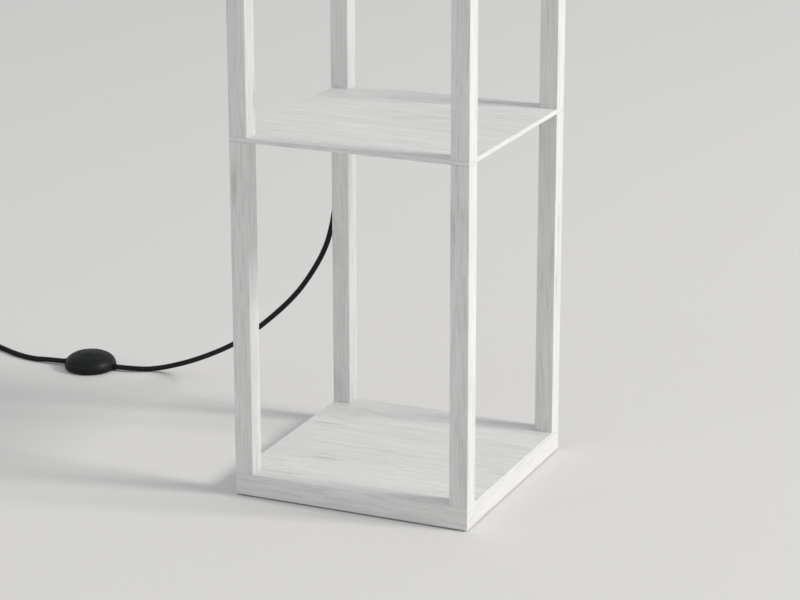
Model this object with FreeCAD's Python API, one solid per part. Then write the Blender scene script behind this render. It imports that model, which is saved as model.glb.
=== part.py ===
"""Shelf floor lamp: four slim posts, a thick base board, two shelves and a deck, a square fabric shade,
and a flex with a foot switch. Millimetres, +Z up, origin on the floor under the middle of the base,
front towards -Y, right towards +X."""

import FreeCAD, Part
import math
import os

V = FreeCAD.Vector
UP = V(0, 0, 1)
SMALL = 1e-6
STEP_ALONG = 1e-4  # part of a turn, for directions along a winding
ALONG_Y = V(0, 1, 0)

# ---------------------------------------------------------------- wooden frame
FOOTPRINT = 260.0  # side of the square base board, shelves and deck
POST = 20.0  # side of the square posts, flush with the corners of the boards
BASE_THICKNESS = 24.0
BOARD_THICKNESS = 5.0  # shelves and lamp deck
BAY_HEIGHT = 353.0  # clear height of each of the three bays, and length of each post section
EDGE_BREAK = 0.5  # small chamfer that takes the sharpness off every wooden edge
PAD_RADIUS = 10.0
PAD_THICKNESS = 1.5
PAD_INSET = 34.0  # from the edge of the base to the middle of a pad

# ---------------------------------------------------------------- how finely round forms are drawn
ARC_STEP = 20.0  # degrees of an outline's arc in one chord
TUBE_SIDES = 8  # sides of the section of a flex or a wire

# ---------------------------------------------------------------- fasteners in the frame
FIT = 0.15  # radial room between a fastener and its hole
THREAD_RADIUS = 3.0  # M6 bolts and studs
INSERT_RADIUS = 5.0
INSERT_LENGTH = 13.0
THREAD_SPARE = 1.0  # how far a bolt or stud stops short of the inner end of its insert
BOLT_HEAD_RADIUS = 5.0
BOLT_HEAD_HEIGHT = 6.0
BOLT_HEAD_DEPTH = 8.0  # depth of the counterbore under the base
HEAD_ROOM = 0.5  # radial room round a bolt head in its counterbore
DECK_HEAD_RADIUS = 6.0  # countersunk bolts through the deck
SOCKET_WIDTH = 4.0  # hexagon socket, across flats

# ---------------------------------------------------------------- wired column
CORD = 6.0  # outer diameter of the round flex
WIRE_BORE = 9.0
NIPPLE_RADIUS = 5.0  # M10 lamp nipple
NIPPLE_BORE = 7.4
WIRE_INSERT_RADIUS = 6.5
WIRE_INSERT_LENGTH = 12.0
EXIT_DROP = 43.5  # from the underside of the first shelf down to the hole where the flex leaves
EXIT_SLANT = 30.0  # degrees between the slanted hole and the upright
EXIT_BEND = 40.0  # radius of the lead where it turns into the slanted hole
RELIEF_REACH = 18.0  # how far the tapered strain relief stands out along the flex
RELIEF_DEPTH = 8.0  # how far its neck goes into the slanted hole
RELIEF_ROOT = 5.6
RELIEF_TIP = 4.2
RELIEF_PLATE = 2.0
DECK_BUSH_FLANGE = 7.0
DECK_BUSH_HEIGHT = 1.5
DECK_BUSH_WALL = 0.85
DECK_BUSH_DEPTH = 3.0  # how far the bushing reaches into the post below the deck

# ---------------------------------------------------------------- canopy and lampholder
CANOPY_SHEET = 1.2
CANOPY_FLANGE = 38.0
CANOPY_FOOT = 30.5
CANOPY_SHOULDER = 27.0
CANOPY_HEIGHT = 26.0
CANOPY_BEND = 4.0  # radius of the bend between its side and its top
CANOPY_SCREW_CIRCLE = 34.0
CANOPY_SCREWS = 3
SCREW_RADIUS = 1.5
SCREW_HEAD_RADIUS = 2.8
SCREW_HEAD_HEIGHT = 1.8
SCREW_NUT_WIDTH = 5.5
SCREW_NUT_HEIGHT = 2.4
SCREW_STICK_OUT = 0.8
LOCKNUT_WIDTH = 14.0
LOCKNUT_HEIGHT = 3.0
NIPPLE_TAIL = 1.8  # how far the nipple reaches below the lower locknut
HOLDER_HUB_RADIUS = 8.0
HOLDER_HUB_DEPTH = 8.0
HOLDER_CAP_HEIGHT = 25.0
HOLDER_CAP_WALL = 1.9
FLARE_BULGE = 0.16  # how far the flare bulges, as a share of its length
HOLDER_HEIGHT = 59.0  # cap and body together
HOLDER_SPIGOT = 4.0
HOLDER_LIP = 1.0  # turned in over the insert
SHOULDER_WIDTH = 3.5  # how far the shoulder stands out round the body
SHOULDER_RISE = 1.5  # from the joint of cap and body up to the shoulder
SHOULDER_HEIGHT = 2.7
BODY_WALL = 2.5
INSERT_WALL = 2.5
INSERT_FLOOR = 6.0
INSERT_GAP = 0.2  # round the insulating insert
SHELL_BORE = 13.5  # radius inside the brass screw shell
SHELL_WALL = 0.6
SHELL_HEIGHT = 28.0
SHELL_LIP = 9.0
CONTACT_WIDTH = 5.0
CONTACT_SHEET = 0.5
CONTACT_RISE = 4.0
CONTACT_TIP = 3.0  # how far the raised tongue reaches past the middle

# ---------------------------------------------------------------- bulb
BULB_CAP_ROOM = 0.4  # radial room for the thread between cap and screw shell
BULB_CAP_HEIGHT = 26.5
BULB_TIP_GAP = 0.4  # between the bulb's tip and the centre contact
BULB_HOUSING_HEIGHT = 36.5
BULB_HOUSING_TOP = 26.0
BULB_WAIST = 20.1  # radius of the housing halfway up
GLOBE_RADIUS = 30.0
GLOBE_WALL = 1.2
GLOBE_STEP = 0.4  # how far the dome's foot stands in from the housing's rim

# ---------------------------------------------------------------- shade
SHADE_GAP = 2.0  # between the deck and the lower edge of the shade
SHADE_HEIGHT = 498.5
SHADE_INSET = 1.0  # how far the shade stands back from the edge of the deck on each side
SHADE_CORNER = 8.0
SHADE_SHEET = 0.6  # liner, fabric and hem are each this thick
HEM_HEIGHT = 9.0
RING_WIRE = 1.25  # radius of the square ring wires
RING_CLEAR = 0.1
ARM_WIRE = 1.75
SPIDER_ROOM = 0.5  # radial room between the spider's ring and the lampholder
SPIDER_WIDTH = 7.0  # width of that flat ring
SPIDER_SHEET = 1.5
SHADE_RING_GAP = 0.2
SHADE_RING_FLANGE_WIDTH = 5.0
SHADE_RING_FLANGE_HEIGHT = 2.5
SHADE_RING_WALL = 3.2
SHADE_RING_HEIGHT = 10.0
SHADE_RING_ROOM = 0.3
SHADE_RING_NOTCHES = 10
NOTCH_RADIUS = 2.2

# ---------------------------------------------------------------- foot switch
SWITCH_X = -476.0
SWITCH_Y = 168.0
SWITCH_TURN = 5.0  # degrees, direction of the cord line through the switch
SWITCH_RADIUS = 30.5
SWITCH_WALL = 1.6
SWITCH_PAD_RADIUS = 27.0
SWITCH_PAD_BORE = 12.0
SWITCH_PAD_HEIGHT = 1.0
SWITCH_FLOOR = 1.8
SWITCH_RIM = 5.0  # height of the joint between housing and cover
SWITCH_HEIGHT = 19.2
SWITCH_KNEE_INSET = 4.2  # the cover's rounded side, on the way up from its rim
SWITCH_KNEE_RISE = 0.62
BUTTON_RADIUS = 12.9
BUTTON_ROOM = 0.3
BUTTON_CROWN = 2.2  # how far the middle of the button stands above the cover's hole
BUTTON_TRAVEL = 2.5
BUTTON_SKIRT = 1.4
BUTTON_FLANGE = 15.0
BUTTON_FLANGE_HEIGHT = 1.5
BUTTON_ROOF = 2.0
STEM_RADIUS = 4.0
CORE_LENGTH = 22.0
CORE_WIDTH = 14.0
CORE_HEIGHT = 6.0
STEM_GAP = 0.5  # left between stem and core when the button is fully pressed
SPRING_RADIUS = 6.0
SPRING_WIRE = 0.4
SPRING_TURNS = 3
BOSS_CIRCLE = 22.0
BOSS_RADIUS = 3.0
BOSS_SCREW = 1.0
BOSS_SCREW_HEAD = 2.2
BOSS_SCREW_LENGTH = 8.0
GLAND_RADIUS = 3.8
GLAND_REACH = 2.5  # how far a gland stands out of the switch
GLAND_DEPTH = 3.0  # how far it reaches in from the outside
GLAND_HEIGHT = 4.8  # height of the cord line in the switch

# ---------------------------------------------------------------- coil of flex and plug
COIL_X = -660.0
COIL_Y = 150.0
COIL_OUTER = 43.8  # radius of the outermost turn
COIL_STEP = 6.6  # from turn to turn, and from layer to layer
COIL_LAYER_TURNS = 2.875  # turns in each of the two layers; half a turn climbs between them
PLUG_LINE = -46.0  # from the middle of the coil to the start of the plug's tail, along Y
PLUG_DRIFT = 1.5
PLUG_WIDTH = 35.0
PLUG_THICKNESS = 13.7
PLUG_LENGTH = 33.0
PLUG_NOSE_WIDTH = 31.0
PLUG_NOSE_THICKNESS = 12.2
PLUG_CORNER = 0.25  # share of the thickness that is cut off each corner
PLUG_TAIL = 24.0
PLUG_TAIL_TIP = 4.0
PLUG_TAIL_ROOT = 5.2
PIN_RADIUS = 2.0
PIN_LENGTH = 19.0
PIN_SPACING = 18.6
PIN_DEPTH = 8.0

# points that the flex follows between the strain relief and the foot switch
FLEX_TO_SWITCH = (
    (-124.0, 147.0, 286.0),
    (-132.0, 143.5, 263.0),
    (-138.5, 138.5, 243.0),
    (-144.5, 137.5, 219.0),
    (-153.0, 139.0, 192.0),
    (-170.0, 142.0, 160.0),
    (-196.0, 145.0, 127.0),
    (-238.0, 151.0, 86.0),
    (-284.0, 160.5, 50.5),
    (-330.0, 171.0, 25.0),
    (-376.0, 180.5, 6.5),
    (-402.0, 178.0, 3.0),
)
FLEX_FIRST_RUN = 11.0
SWITCH_RUN = 19.0
# points between the foot switch and the coil
FLEX_TO_COIL = (
    (-553.0, 163.0, 3.0),
    (-580.0, 170.0, 3.0),
    (-607.0, 183.0, 3.0),
)
COIL_RUN = 22.0

# ---------------------------------------------------------------- levels and places worked out from these
SECTIONS = ("lower", "middle", "upper")
CORNERS = {"front_left": (-1, -1), "front_right": (1, -1), "back_left": (-1, 1), "back_right": (1, 1)}
WIRED = "back_left"
PLAIN_CORNERS = [name for name in CORNERS if name != WIRED]

half = FOOTPRINT / 2
post_axis = half - POST / 2
base_bottom = PAD_THICKNESS
base_top = base_bottom + BASE_THICKNESS
post_bottoms = [base_top + i * (BAY_HEIGHT + BOARD_THICKNESS) for i in range(len(SECTIONS))]
board_bottoms = [z + BAY_HEIGHT for z in post_bottoms]
deck_top = board_bottoms[-1] + BOARD_THICKNESS
cord_radius = CORD / 2

insert_bore = SHELL_BORE + SHELL_WALL + INSERT_GAP
insert_radius = insert_bore + INSERT_WALL
holder_radius = insert_radius + INSERT_GAP + BODY_WALL
bulb_cap_radius = SHELL_BORE - BULB_CAP_ROOM
spider_bore = holder_radius + SPIDER_ROOM
spider_rim = spider_bore + SPIDER_WIDTH

canopy_top = deck_top + CANOPY_HEIGHT
nut_seat = canopy_top - CANOPY_SHEET
holder_bottom = canopy_top + LOCKNUT_HEIGHT
holder_joint = holder_bottom + HOLDER_CAP_HEIGHT
holder_top = holder_bottom + HOLDER_HEIGHT
shoulder_top = holder_joint + SHOULDER_RISE + SHOULDER_HEIGHT
spider_top = shoulder_top + SPIDER_SHEET
insert_floor = holder_joint - HOLDER_SPIGOT + INSERT_FLOOR
contact_top = insert_floor + CONTACT_RISE
bulb_tip = contact_top + BULB_TIP_GAP
bulb_neck = bulb_tip + BULB_CAP_HEIGHT
globe_seat = bulb_neck + BULB_HOUSING_HEIGHT

shade_bottom = deck_top + SHADE_GAP
shade_top = shade_bottom + SHADE_HEIGHT
hem_face = half - SHADE_INSET
fabric_face = hem_face - SHADE_SHEET
liner_face = fabric_face - SHADE_SHEET
ring_line = liner_face - SHADE_SHEET - RING_CLEAR - RING_WIRE
lower_ring_z = shade_bottom + SHADE_SHEET + RING_CLEAR + RING_WIRE
upper_ring_z = shade_top - SHADE_SHEET - RING_CLEAR - RING_WIRE


# ---------------------------------------------------------------- helpers
def corner_point(corner, z):
    """Point on the axis of a post."""
    side_x, side_y = CORNERS[corner]
    return V(side_x * post_axis, side_y * post_axis, z)


def lathe(outline, centre=V(0, 0, 0)):
    """Solid of revolution about an upright axis. The outline lists (radius, height) points, and a point
    of four numbers is (radius, height) on the way of an arc, then its end. An arc is cut into short
    chords of about ARC_STEP degrees each, so that every turned face is a plain cone."""
    start = outline[0]
    points = [V(start[0], 0, start[1])]
    for item in list(outline[1:]) + [start]:
        there = V(item[-2], 0, item[-1])
        if len(item) == 4:
            arc = Part.Arc(points[-1], V(item[0], 0, item[1]), there)
            chords = math.ceil(math.degrees(arc.LastParameter - arc.FirstParameter) / ARC_STEP)
            points.extend(arc.toShape().discretize(chords + 1)[1:-1])
        points.append(there)
    points = [p for p, after in zip(points, points[1:]) if (after - p).Length > SMALL] + points[:1]
    solid = Part.Face(Part.makePolygon(points)).revolve(V(0, 0, 0), UP, 360)
    solid.translate(centre)
    return solid


def crown(radius, low, rise):
    """Arc of an outline that closes a round top as part of a ball: on the way, then the middle."""
    ball = (radius * radius + rise * rise) / (2 * rise)
    lean = math.asin(radius / ball) / 2
    return (ball * math.sin(lean), low + rise - ball * (1 - math.cos(lean)), 0, low + rise)


def quarter_bulge(radius, height, end_radius, end_height):
    """Arc of an outline that bulges outwards and down between the two ends of a flare."""
    along = V(end_radius - radius, 0, end_height - height)
    outward = V(abs(along.z), 0, -abs(along.x)).normalize() * (along.Length * FLARE_BULGE)
    return (radius + along.x / 2 + outward.x, height + along.z / 2 + outward.z, end_radius, end_height)


def hexagon(width, z, height, centre=V(0, 0, 0)):
    """Upright hexagonal prism, sized across flats."""
    reach = width / math.sqrt(3)
    turns = [math.radians(60 * i) for i in range(7)]
    points = [V(reach * math.cos(t), reach * math.sin(t), 0) for t in turns]
    solid = Part.Face(Part.makePolygon(points)).extrude(V(0, 0, height))
    solid.translate(V(centre.x, centre.y, z))
    return solid


def rounded_square_wire(reach, corner, z):
    """Square with rounded corners, reach from the middle to each side."""
    edges = []
    flat = reach - corner
    for quarter in range(4):
        turn = math.radians(90 * quarter)
        cos, sin = math.cos(turn), math.sin(turn)

        def at(x, y):
            return V(x * cos - y * sin, x * sin + y * cos, z)

        middle = flat + corner * math.sqrt(0.5)
        edges.append(Part.LineSegment(at(reach, -flat), at(reach, flat)).toShape())
        edges.append(Part.Arc(at(reach, flat), at(middle, middle), at(flat, reach)).toShape())
    return Part.Wire(edges)


def square_tube(reach, corner, wall, z, height):
    """Thin square tube with rounded corners; reach is to its outer face."""
    outer = Part.Face(rounded_square_wire(reach, corner, z)).extrude(V(0, 0, height))
    inner = Part.Face(rounded_square_wire(reach - wall, corner - wall, z)).extrude(V(0, 0, height))
    return outer.cut(inner)


def board(z, thickness):
    """Square board with its edges broken."""
    solid = Part.makeBox(FOOTPRINT, FOOTPRINT, thickness, V(-half, -half, z))
    return solid.makeChamfer(EDGE_BREAK, solid.Edges)


def tube_section(start, way, reach):
    """Regular polygon square to the way, its corners at the reach, and two of its sides level."""
    side_way = way.cross(UP if abs(way.z) < 0.9 else ALONG_Y).normalize()
    up_way = side_way.cross(way)
    corners = []
    for i in range(TUBE_SIDES + 1):
        turn = 2 * math.pi / TUBE_SIDES * (i + 0.5)
        corners.append(start + side_way * (reach * math.cos(turn)) + up_way * (reach * math.sin(turn)))
    return Part.makePolygon(corners)


def tube_along(path, reach):
    """Solid tube swept along a wire of lines and tangent arcs, its corners at the reach from the line."""
    first = path.OrderedEdges[0]
    start = first.firstVertex(True).Point
    way = first.tangentAt(first.FirstParameter if first.Orientation == "Forward" else first.LastParameter)
    return path.makePipeShell([tube_section(start, way, reach)], True, False)


def section_area(reach):
    return TUBE_SIDES / 2 * reach**2 * math.sin(2 * math.pi / TUBE_SIDES)


def rounded_route(name, points, tightest=None):
    """Wire of straight runs joined by tangent arcs. Each arc is as large as its two runs allow."""
    points = [V(*p) for p in points]
    runs = [(b - a).Length for a, b in zip(points, points[1:])]
    edges = []
    here = points[0]
    radii = []
    for i in range(1, len(points) - 1):
        before = (points[i] - points[i - 1]).normalize()
        after = (points[i + 1] - points[i]).normalize()
        turn = before.getAngle(after)
        radius = 0.45 * min(runs[i - 1], runs[i]) / math.tan(turn / 2)
        if tightest:
            radius = min(radius, tightest)
        reach = radius * math.tan(turn / 2)
        start = points[i] - before * reach
        end = points[i] + after * reach
        inward = (after - before).normalize()
        middle = points[i] + inward * (radius / math.cos(turn / 2) - radius)
        edges.append(Part.LineSegment(here, start).toShape())
        edges.append(Part.Arc(start, middle, end).toShape())
        radii.append(radius)
        here = end
    edges.append(Part.LineSegment(here, points[-1]).toShape())
    path = Part.Wire(edges)
    print(name, "length", round(path.Length, 1), "radii", [round(r) for r in radii])
    print(name, "runs", [round(r) for r in runs])
    return path


def flex(name, points, tightest=None):
    """A stretch of round flex, with its volume set against section times length."""
    path = rounded_route(name, points, tightest)
    solid = tube_along(path, cord_radius)
    expected = section_area(cord_radius) * path.Length
    print(name, "volume over section times length", round(solid.Volume / expected, 4))
    return solid


def arc_by_knee(start, knee, end):
    """Arc that leaves start towards the knee and reaches end from it. The knee is as far from both."""
    chord_middle = (start + end) * 0.5
    rise = (knee - chord_middle).Length
    if rise < SMALL:
        return Part.LineSegment(start, end).toShape()
    bend = math.asin(min(1.0, rise / (knee - start).Length))
    sagitta = (end - start).Length / 2 * math.tan(bend / 2)
    middle = chord_middle + (knee - chord_middle).normalize() * sagitta
    return Part.Arc(start, middle, end).toShape()


def ruled_arcs(start, start_way, end, end_way):
    """Two arcs that leave start along start_way, meet smoothly and reach end along end_way."""
    gap = end - start
    ways = start_way + end_way
    a = 2 * (1 - start_way.dot(end_way))
    b = gap.dot(ways)
    c = gap.dot(gap)
    reach = c / (2 * b) if abs(a) < SMALL else (-b + math.sqrt(b * b + a * c)) / a
    knee_start = start + start_way * reach
    knee_end = end - end_way * reach
    joint = (knee_start + knee_end) * 0.5
    return [arc_by_knee(start, knee_start, joint), arc_by_knee(joint, knee_end, end)]


def way_at(place, t):
    """Direction in which place(t) moves on."""
    return (place(t + STEP_ALONG) - place(t - STEP_ALONG)).normalize()


def turns_path(place, turns):
    """Smooth run of arcs through place(t), for t from 0 to turns, with a station every quarter turn."""
    count = round(turns * 4)
    stations = [(place(turns * i / count), way_at(place, turns * i / count)) for i in range(count + 1)]
    edges = []
    for (start, start_way), (end, end_way) in zip(stations, stations[1:]):
        edges.extend(ruled_arcs(start, start_way, end, end_way))
    return edges, stations[0], stations[-1]


# ---------------------------------------------------------------- wooden frame
def base_board():
    solid = board(base_bottom, BASE_THICKNESS)
    for corner in CORNERS:
        low = corner_point(corner, base_bottom)
        solid = solid.cut(Part.makeCylinder(BOLT_HEAD_RADIUS + HEAD_ROOM, BOLT_HEAD_DEPTH, low))
        solid = solid.cut(Part.makeCylinder(THREAD_RADIUS + FIT, BASE_THICKNESS, low))
    return solid


def shelf(z):
    solid = board(z, BOARD_THICKNESS)
    for corner in CORNERS:
        radius = (NIPPLE_RADIUS if corner == WIRED else THREAD_RADIUS) + FIT
        solid = solid.cut(Part.makeCylinder(radius, BOARD_THICKNESS, corner_point(corner, z)))
    return solid


def lamp_deck():
    z = board_bottoms[-1]
    solid = board(z, BOARD_THICKNESS)
    head_height = DECK_HEAD_RADIUS - THREAD_RADIUS
    for corner in PLAIN_CORNERS:
        solid = solid.cut(Part.makeCylinder(THREAD_RADIUS + FIT, BOARD_THICKNESS, corner_point(corner, z)))
        sink = Part.makeCone(
            THREAD_RADIUS, DECK_HEAD_RADIUS, head_height, corner_point(corner, deck_top - head_height)
        )
        solid = solid.cut(sink)
    bush = Part.makeCylinder(deck_bush_neck + FIT, BOARD_THICKNESS, corner_point(WIRED, z))
    solid = solid.cut(bush)
    for x, y in canopy_screw_places():
        solid = solid.cut(Part.makeCylinder(SCREW_RADIUS + FIT, BOARD_THICKNESS, V(x, y, z)))
    return solid


def plain_post(section, corner):
    """Post section with an insert hole in each end."""
    low = corner_point(corner, post_bottoms[section])
    solid = post_blank(low)
    depth = INSERT_LENGTH + THREAD_SPARE
    hole = INSERT_RADIUS + FIT
    solid = solid.cut(Part.makeCylinder(hole, depth, low))
    return solid.cut(Part.makeCylinder(hole, depth, low + V(0, 0, BAY_HEIGHT - depth)))


def post_blank(low):
    solid = Part.makeBox(POST, POST, BAY_HEIGHT, low - V(POST / 2, POST / 2, 0))
    upright = [e for e in solid.Edges if abs(e.BoundBox.ZLength - BAY_HEIGHT) < SMALL]
    return solid.makeChamfer(EDGE_BREAK, upright)


def wired_post(section):
    """Hollow post section of the column that the lead runs through."""
    low = corner_point(WIRED, post_bottoms[section])
    top = low + V(0, 0, BAY_HEIGHT)
    solid = post_blank(low)
    seat = WIRE_INSERT_RADIUS + FIT
    bore = WIRE_BORE / 2
    if section == 0:
        solid = solid.cut(Part.makeCylinder(INSERT_RADIUS + FIT, INSERT_LENGTH + THREAD_SPARE, low))
        solid = solid.cut(Part.makeCylinder(bore, top.z - exit_knee.z, exit_knee))
        solid = solid.cut(Part.makeCylinder(bore, 2 * POST / exit_way.y, exit_knee, exit_way))
        solid = solid.cut(Part.makeSphere(bore, exit_knee))
    else:
        solid = solid.cut(Part.makeCylinder(bore, BAY_HEIGHT, low))
        solid = solid.cut(Part.makeCylinder(seat, WIRE_INSERT_LENGTH, low))
    if section < len(SECTIONS) - 1:
        solid = solid.cut(Part.makeCylinder(seat, WIRE_INSERT_LENGTH, top - V(0, 0, WIRE_INSERT_LENGTH)))
    return solid


def foot_pads():
    place = half - PAD_INSET
    pads = [
        Part.makeCylinder(PAD_RADIUS, PAD_THICKNESS, V(side_x * place, side_y * place, 0))
        for side_x, side_y in CORNERS.values()
    ]
    return Part.Compound(pads)


# ---------------------------------------------------------------- fasteners in the frame
def hex_socket(z, depth, centre):
    return hexagon(SOCKET_WIDTH, z, depth, centre)


def base_bolts():
    seat = base_bottom + BOLT_HEAD_DEPTH
    length = base_top + INSERT_LENGTH - THREAD_SPARE - seat
    bolts = []
    for corner in CORNERS:
        place = corner_point(corner, seat)
        bolt = Part.makeCylinder(BOLT_HEAD_RADIUS, BOLT_HEAD_HEIGHT, place - V(0, 0, BOLT_HEAD_HEIGHT))
        bolt = bolt.fuse(Part.makeCylinder(THREAD_RADIUS, length, place)).removeSplitter()
        bolts.append(bolt.cut(hex_socket(seat - BOLT_HEAD_HEIGHT, BOLT_HEAD_HEIGHT / 2, place)))
    return Part.Compound(bolts)


def tube(radius, bore, low, height):
    return Part.makeCylinder(radius, height, low).cut(Part.makeCylinder(bore, height, low))


def post_inserts():
    """Threaded inserts in both ends of every plain post, and in the foot of the wired column."""
    bore = THREAD_RADIUS + FIT
    lows = []
    for corner in PLAIN_CORNERS:
        for bottom in post_bottoms:
            lows.append(corner_point(corner, bottom))
            lows.append(corner_point(corner, bottom + BAY_HEIGHT - INSERT_LENGTH))
    lows.append(corner_point(WIRED, base_top))
    return Part.Compound([tube(INSERT_RADIUS, bore, low, INSERT_LENGTH) for low in lows])


def joint_studs():
    """Studs that pull two post sections together through a shelf."""
    reach = INSERT_LENGTH - THREAD_SPARE
    length = BOARD_THICKNESS + 2 * reach
    studs = []
    for corner in PLAIN_CORNERS:
        for z in board_bottoms[:-1]:
            studs.append(Part.makeCylinder(THREAD_RADIUS, length, corner_point(corner, z - reach)))
    return Part.Compound(studs)


def deck_bolts():
    head_height = DECK_HEAD_RADIUS - THREAD_RADIUS
    length = BOARD_THICKNESS + INSERT_LENGTH - THREAD_SPARE - head_height
    bolts = []
    for corner in PLAIN_CORNERS:
        neck = corner_point(corner, deck_top - head_height)
        bolt = Part.makeCone(THREAD_RADIUS, DECK_HEAD_RADIUS, head_height, neck)
        bolt = bolt.fuse(Part.makeCylinder(THREAD_RADIUS, length, neck - V(0, 0, length))).removeSplitter()
        bolts.append(bolt.cut(hex_socket(deck_top - head_height / 2, head_height, neck)))
    return Part.Compound(bolts)


def wire_inserts():
    lows = []
    for z in board_bottoms[:-1]:
        lows.append(corner_point(WIRED, z - WIRE_INSERT_LENGTH))
        lows.append(corner_point(WIRED, z + BOARD_THICKNESS))
    bore = NIPPLE_RADIUS + FIT
    return Part.Compound([tube(WIRE_INSERT_RADIUS, bore, low, WIRE_INSERT_LENGTH) for low in lows])


def wire_nipples():
    reach = WIRE_INSERT_LENGTH - THREAD_SPARE
    length = BOARD_THICKNESS + 2 * reach
    return Part.Compound(
        [
            tube(NIPPLE_RADIUS, NIPPLE_BORE / 2, corner_point(WIRED, z - reach), length)
            for z in board_bottoms[:-1]
        ]
    )


# ---------------------------------------------------------------- wired column and inner lead
deck_bush_bore = cord_radius + 2 * FIT
deck_bush_neck = deck_bush_bore + DECK_BUSH_WALL
slant = math.radians(EXIT_SLANT)
exit_way = V(0, math.sin(slant), -math.cos(slant))
exit_mouth = V(-post_axis, half, board_bottoms[0] - EXIT_DROP)
exit_knee = exit_mouth - exit_way * (POST / 2 / math.sin(slant))
relief_tip = exit_mouth + exit_way * RELIEF_REACH


def deck_bushing():
    return lathe(
        (
            (deck_bush_bore, deck_top - BOARD_THICKNESS - DECK_BUSH_DEPTH),
            (deck_bush_neck, deck_top - BOARD_THICKNESS - DECK_BUSH_DEPTH),
            (deck_bush_neck, deck_top),
            (DECK_BUSH_FLANGE, deck_top),
            (DECK_BUSH_FLANGE, deck_top + DECK_BUSH_HEIGHT),
            (deck_bush_bore, deck_top + DECK_BUSH_HEIGHT),
        ),
        corner_point(WIRED, 0),
    )


def cord_relief():
    """Tapered strain relief that guides the flex out of the back of the post."""
    neck_start = exit_mouth - exit_way * RELIEF_DEPTH
    neck = Part.makeCylinder(WIRE_BORE / 2 - FIT, RELIEF_DEPTH + POST, neck_start, exit_way)
    inside = Part.makeBox(POST, POST, BAY_HEIGHT, V(-half, half - POST, base_top))
    taper = Part.makeCone(
        RELIEF_ROOT + (RELIEF_ROOT - RELIEF_TIP) * POST / RELIEF_REACH,
        RELIEF_TIP,
        POST + RELIEF_REACH,
        exit_mouth - exit_way * POST,
        exit_way,
    )
    plate_width = 2 * RELIEF_ROOT + RELIEF_PLATE
    plate_height = plate_width / math.sin(slant)
    plate = Part.makeBox(
        plate_width,
        RELIEF_PLATE,
        plate_height,
        V(exit_mouth.x - plate_width / 2, half, exit_mouth.z - plate_height / 2),
    )
    corners = [e for e in plate.Edges if abs(e.BoundBox.YLength - RELIEF_PLATE) < SMALL]
    plate = plate.makeFillet(plate_width / 2 - FIT, corners)
    relief = taper.cut(inside.fuse(Part.makeBox(POST, POST, BAY_HEIGHT, V(-half, half - 2 * POST, base_top))))
    relief = relief.fuse(plate).fuse(neck.common(inside)).removeSplitter()
    bore_start = exit_mouth - exit_way * POST
    bore = Part.makeCylinder(cord_radius + FIT, 2 * POST + RELIEF_REACH, bore_start, exit_way)
    return relief.cut(bore)


lead_level = deck_top + CANOPY_SHEET + cord_radius + 4 * FIT
holder_way = V(1, -1, 0).normalize()
column_to_centre = post_axis * math.sqrt(2)
LEAD_ARCH = ((0.0, 20.0), (12.0, 38.0), (40.0, 40.0), (66.0, 24.0))  # along the deck, above it
LEAD_LANDING = 84.0
LEAD_END = 15.0  # above the foot of the lampholder


def inner_lead():
    """The flex inside the lamp: up the hollow column, over the deck and up into the lampholder."""
    column = corner_point(WIRED, deck_top)
    arch = [column + holder_way * along + V(0, 0, above) for along, above in LEAD_ARCH]
    landing = column + holder_way * LEAD_LANDING
    points = [relief_tip, exit_knee] + arch
    points += [V(landing.x, landing.y, lead_level), V(0, 0, lead_level), V(0, 0, holder_bottom + LEAD_END)]
    return flex("inner_lead", points, EXIT_BEND)


# ---------------------------------------------------------------- canopy and lampholder
def canopy_screw_places():
    """Screws spread evenly, the lead passing midway between two of them."""
    lead_angle = math.degrees(math.atan2(-holder_way.y, -holder_way.x))
    angles = [lead_angle + 180 / CANOPY_SCREWS + 360 / CANOPY_SCREWS * i for i in range(CANOPY_SCREWS)]
    return [
        (CANOPY_SCREW_CIRCLE * math.cos(math.radians(a)), CANOPY_SCREW_CIRCLE * math.sin(math.radians(a)))
        for a in angles
    ]


def lamp_canopy():
    """Pressed steel cup with a flange, a hole for the nipple and one for the lead."""
    bend = CANOPY_BEND
    on_bend = bend * (1 - math.sqrt(0.5))
    inner_bend = bend - CANOPY_SHEET
    inner_shoulder = CANOPY_SHOULDER - CANOPY_SHEET
    on_inner_bend = inner_bend * (1 - math.sqrt(0.5))
    hole = NIPPLE_RADIUS + FIT
    solid = lathe(
        (
            (CANOPY_FOOT - CANOPY_SHEET, deck_top),
            (CANOPY_FLANGE, deck_top),
            (CANOPY_FLANGE, deck_top + CANOPY_SHEET),
            (CANOPY_FOOT, deck_top + CANOPY_SHEET),
            (CANOPY_SHOULDER, canopy_top - bend),
            (CANOPY_SHOULDER - on_bend, canopy_top - on_bend, CANOPY_SHOULDER - bend, canopy_top),
            (hole, canopy_top),
            (hole, nut_seat),
            (inner_shoulder - inner_bend, nut_seat),
            (inner_shoulder - on_inner_bend, nut_seat - on_inner_bend, inner_shoulder, nut_seat - inner_bend),
        )
    )
    lead_hole = Part.makeCylinder(cord_radius + 3 * FIT, CANOPY_FLANGE, V(0, 0, lead_level), holder_way * -1)
    solid = solid.cut(lead_hole)
    for x, y in canopy_screw_places():
        solid = solid.cut(Part.makeCylinder(SCREW_RADIUS + FIT, CANOPY_SHEET, V(x, y, deck_top)))
    return solid


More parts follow.
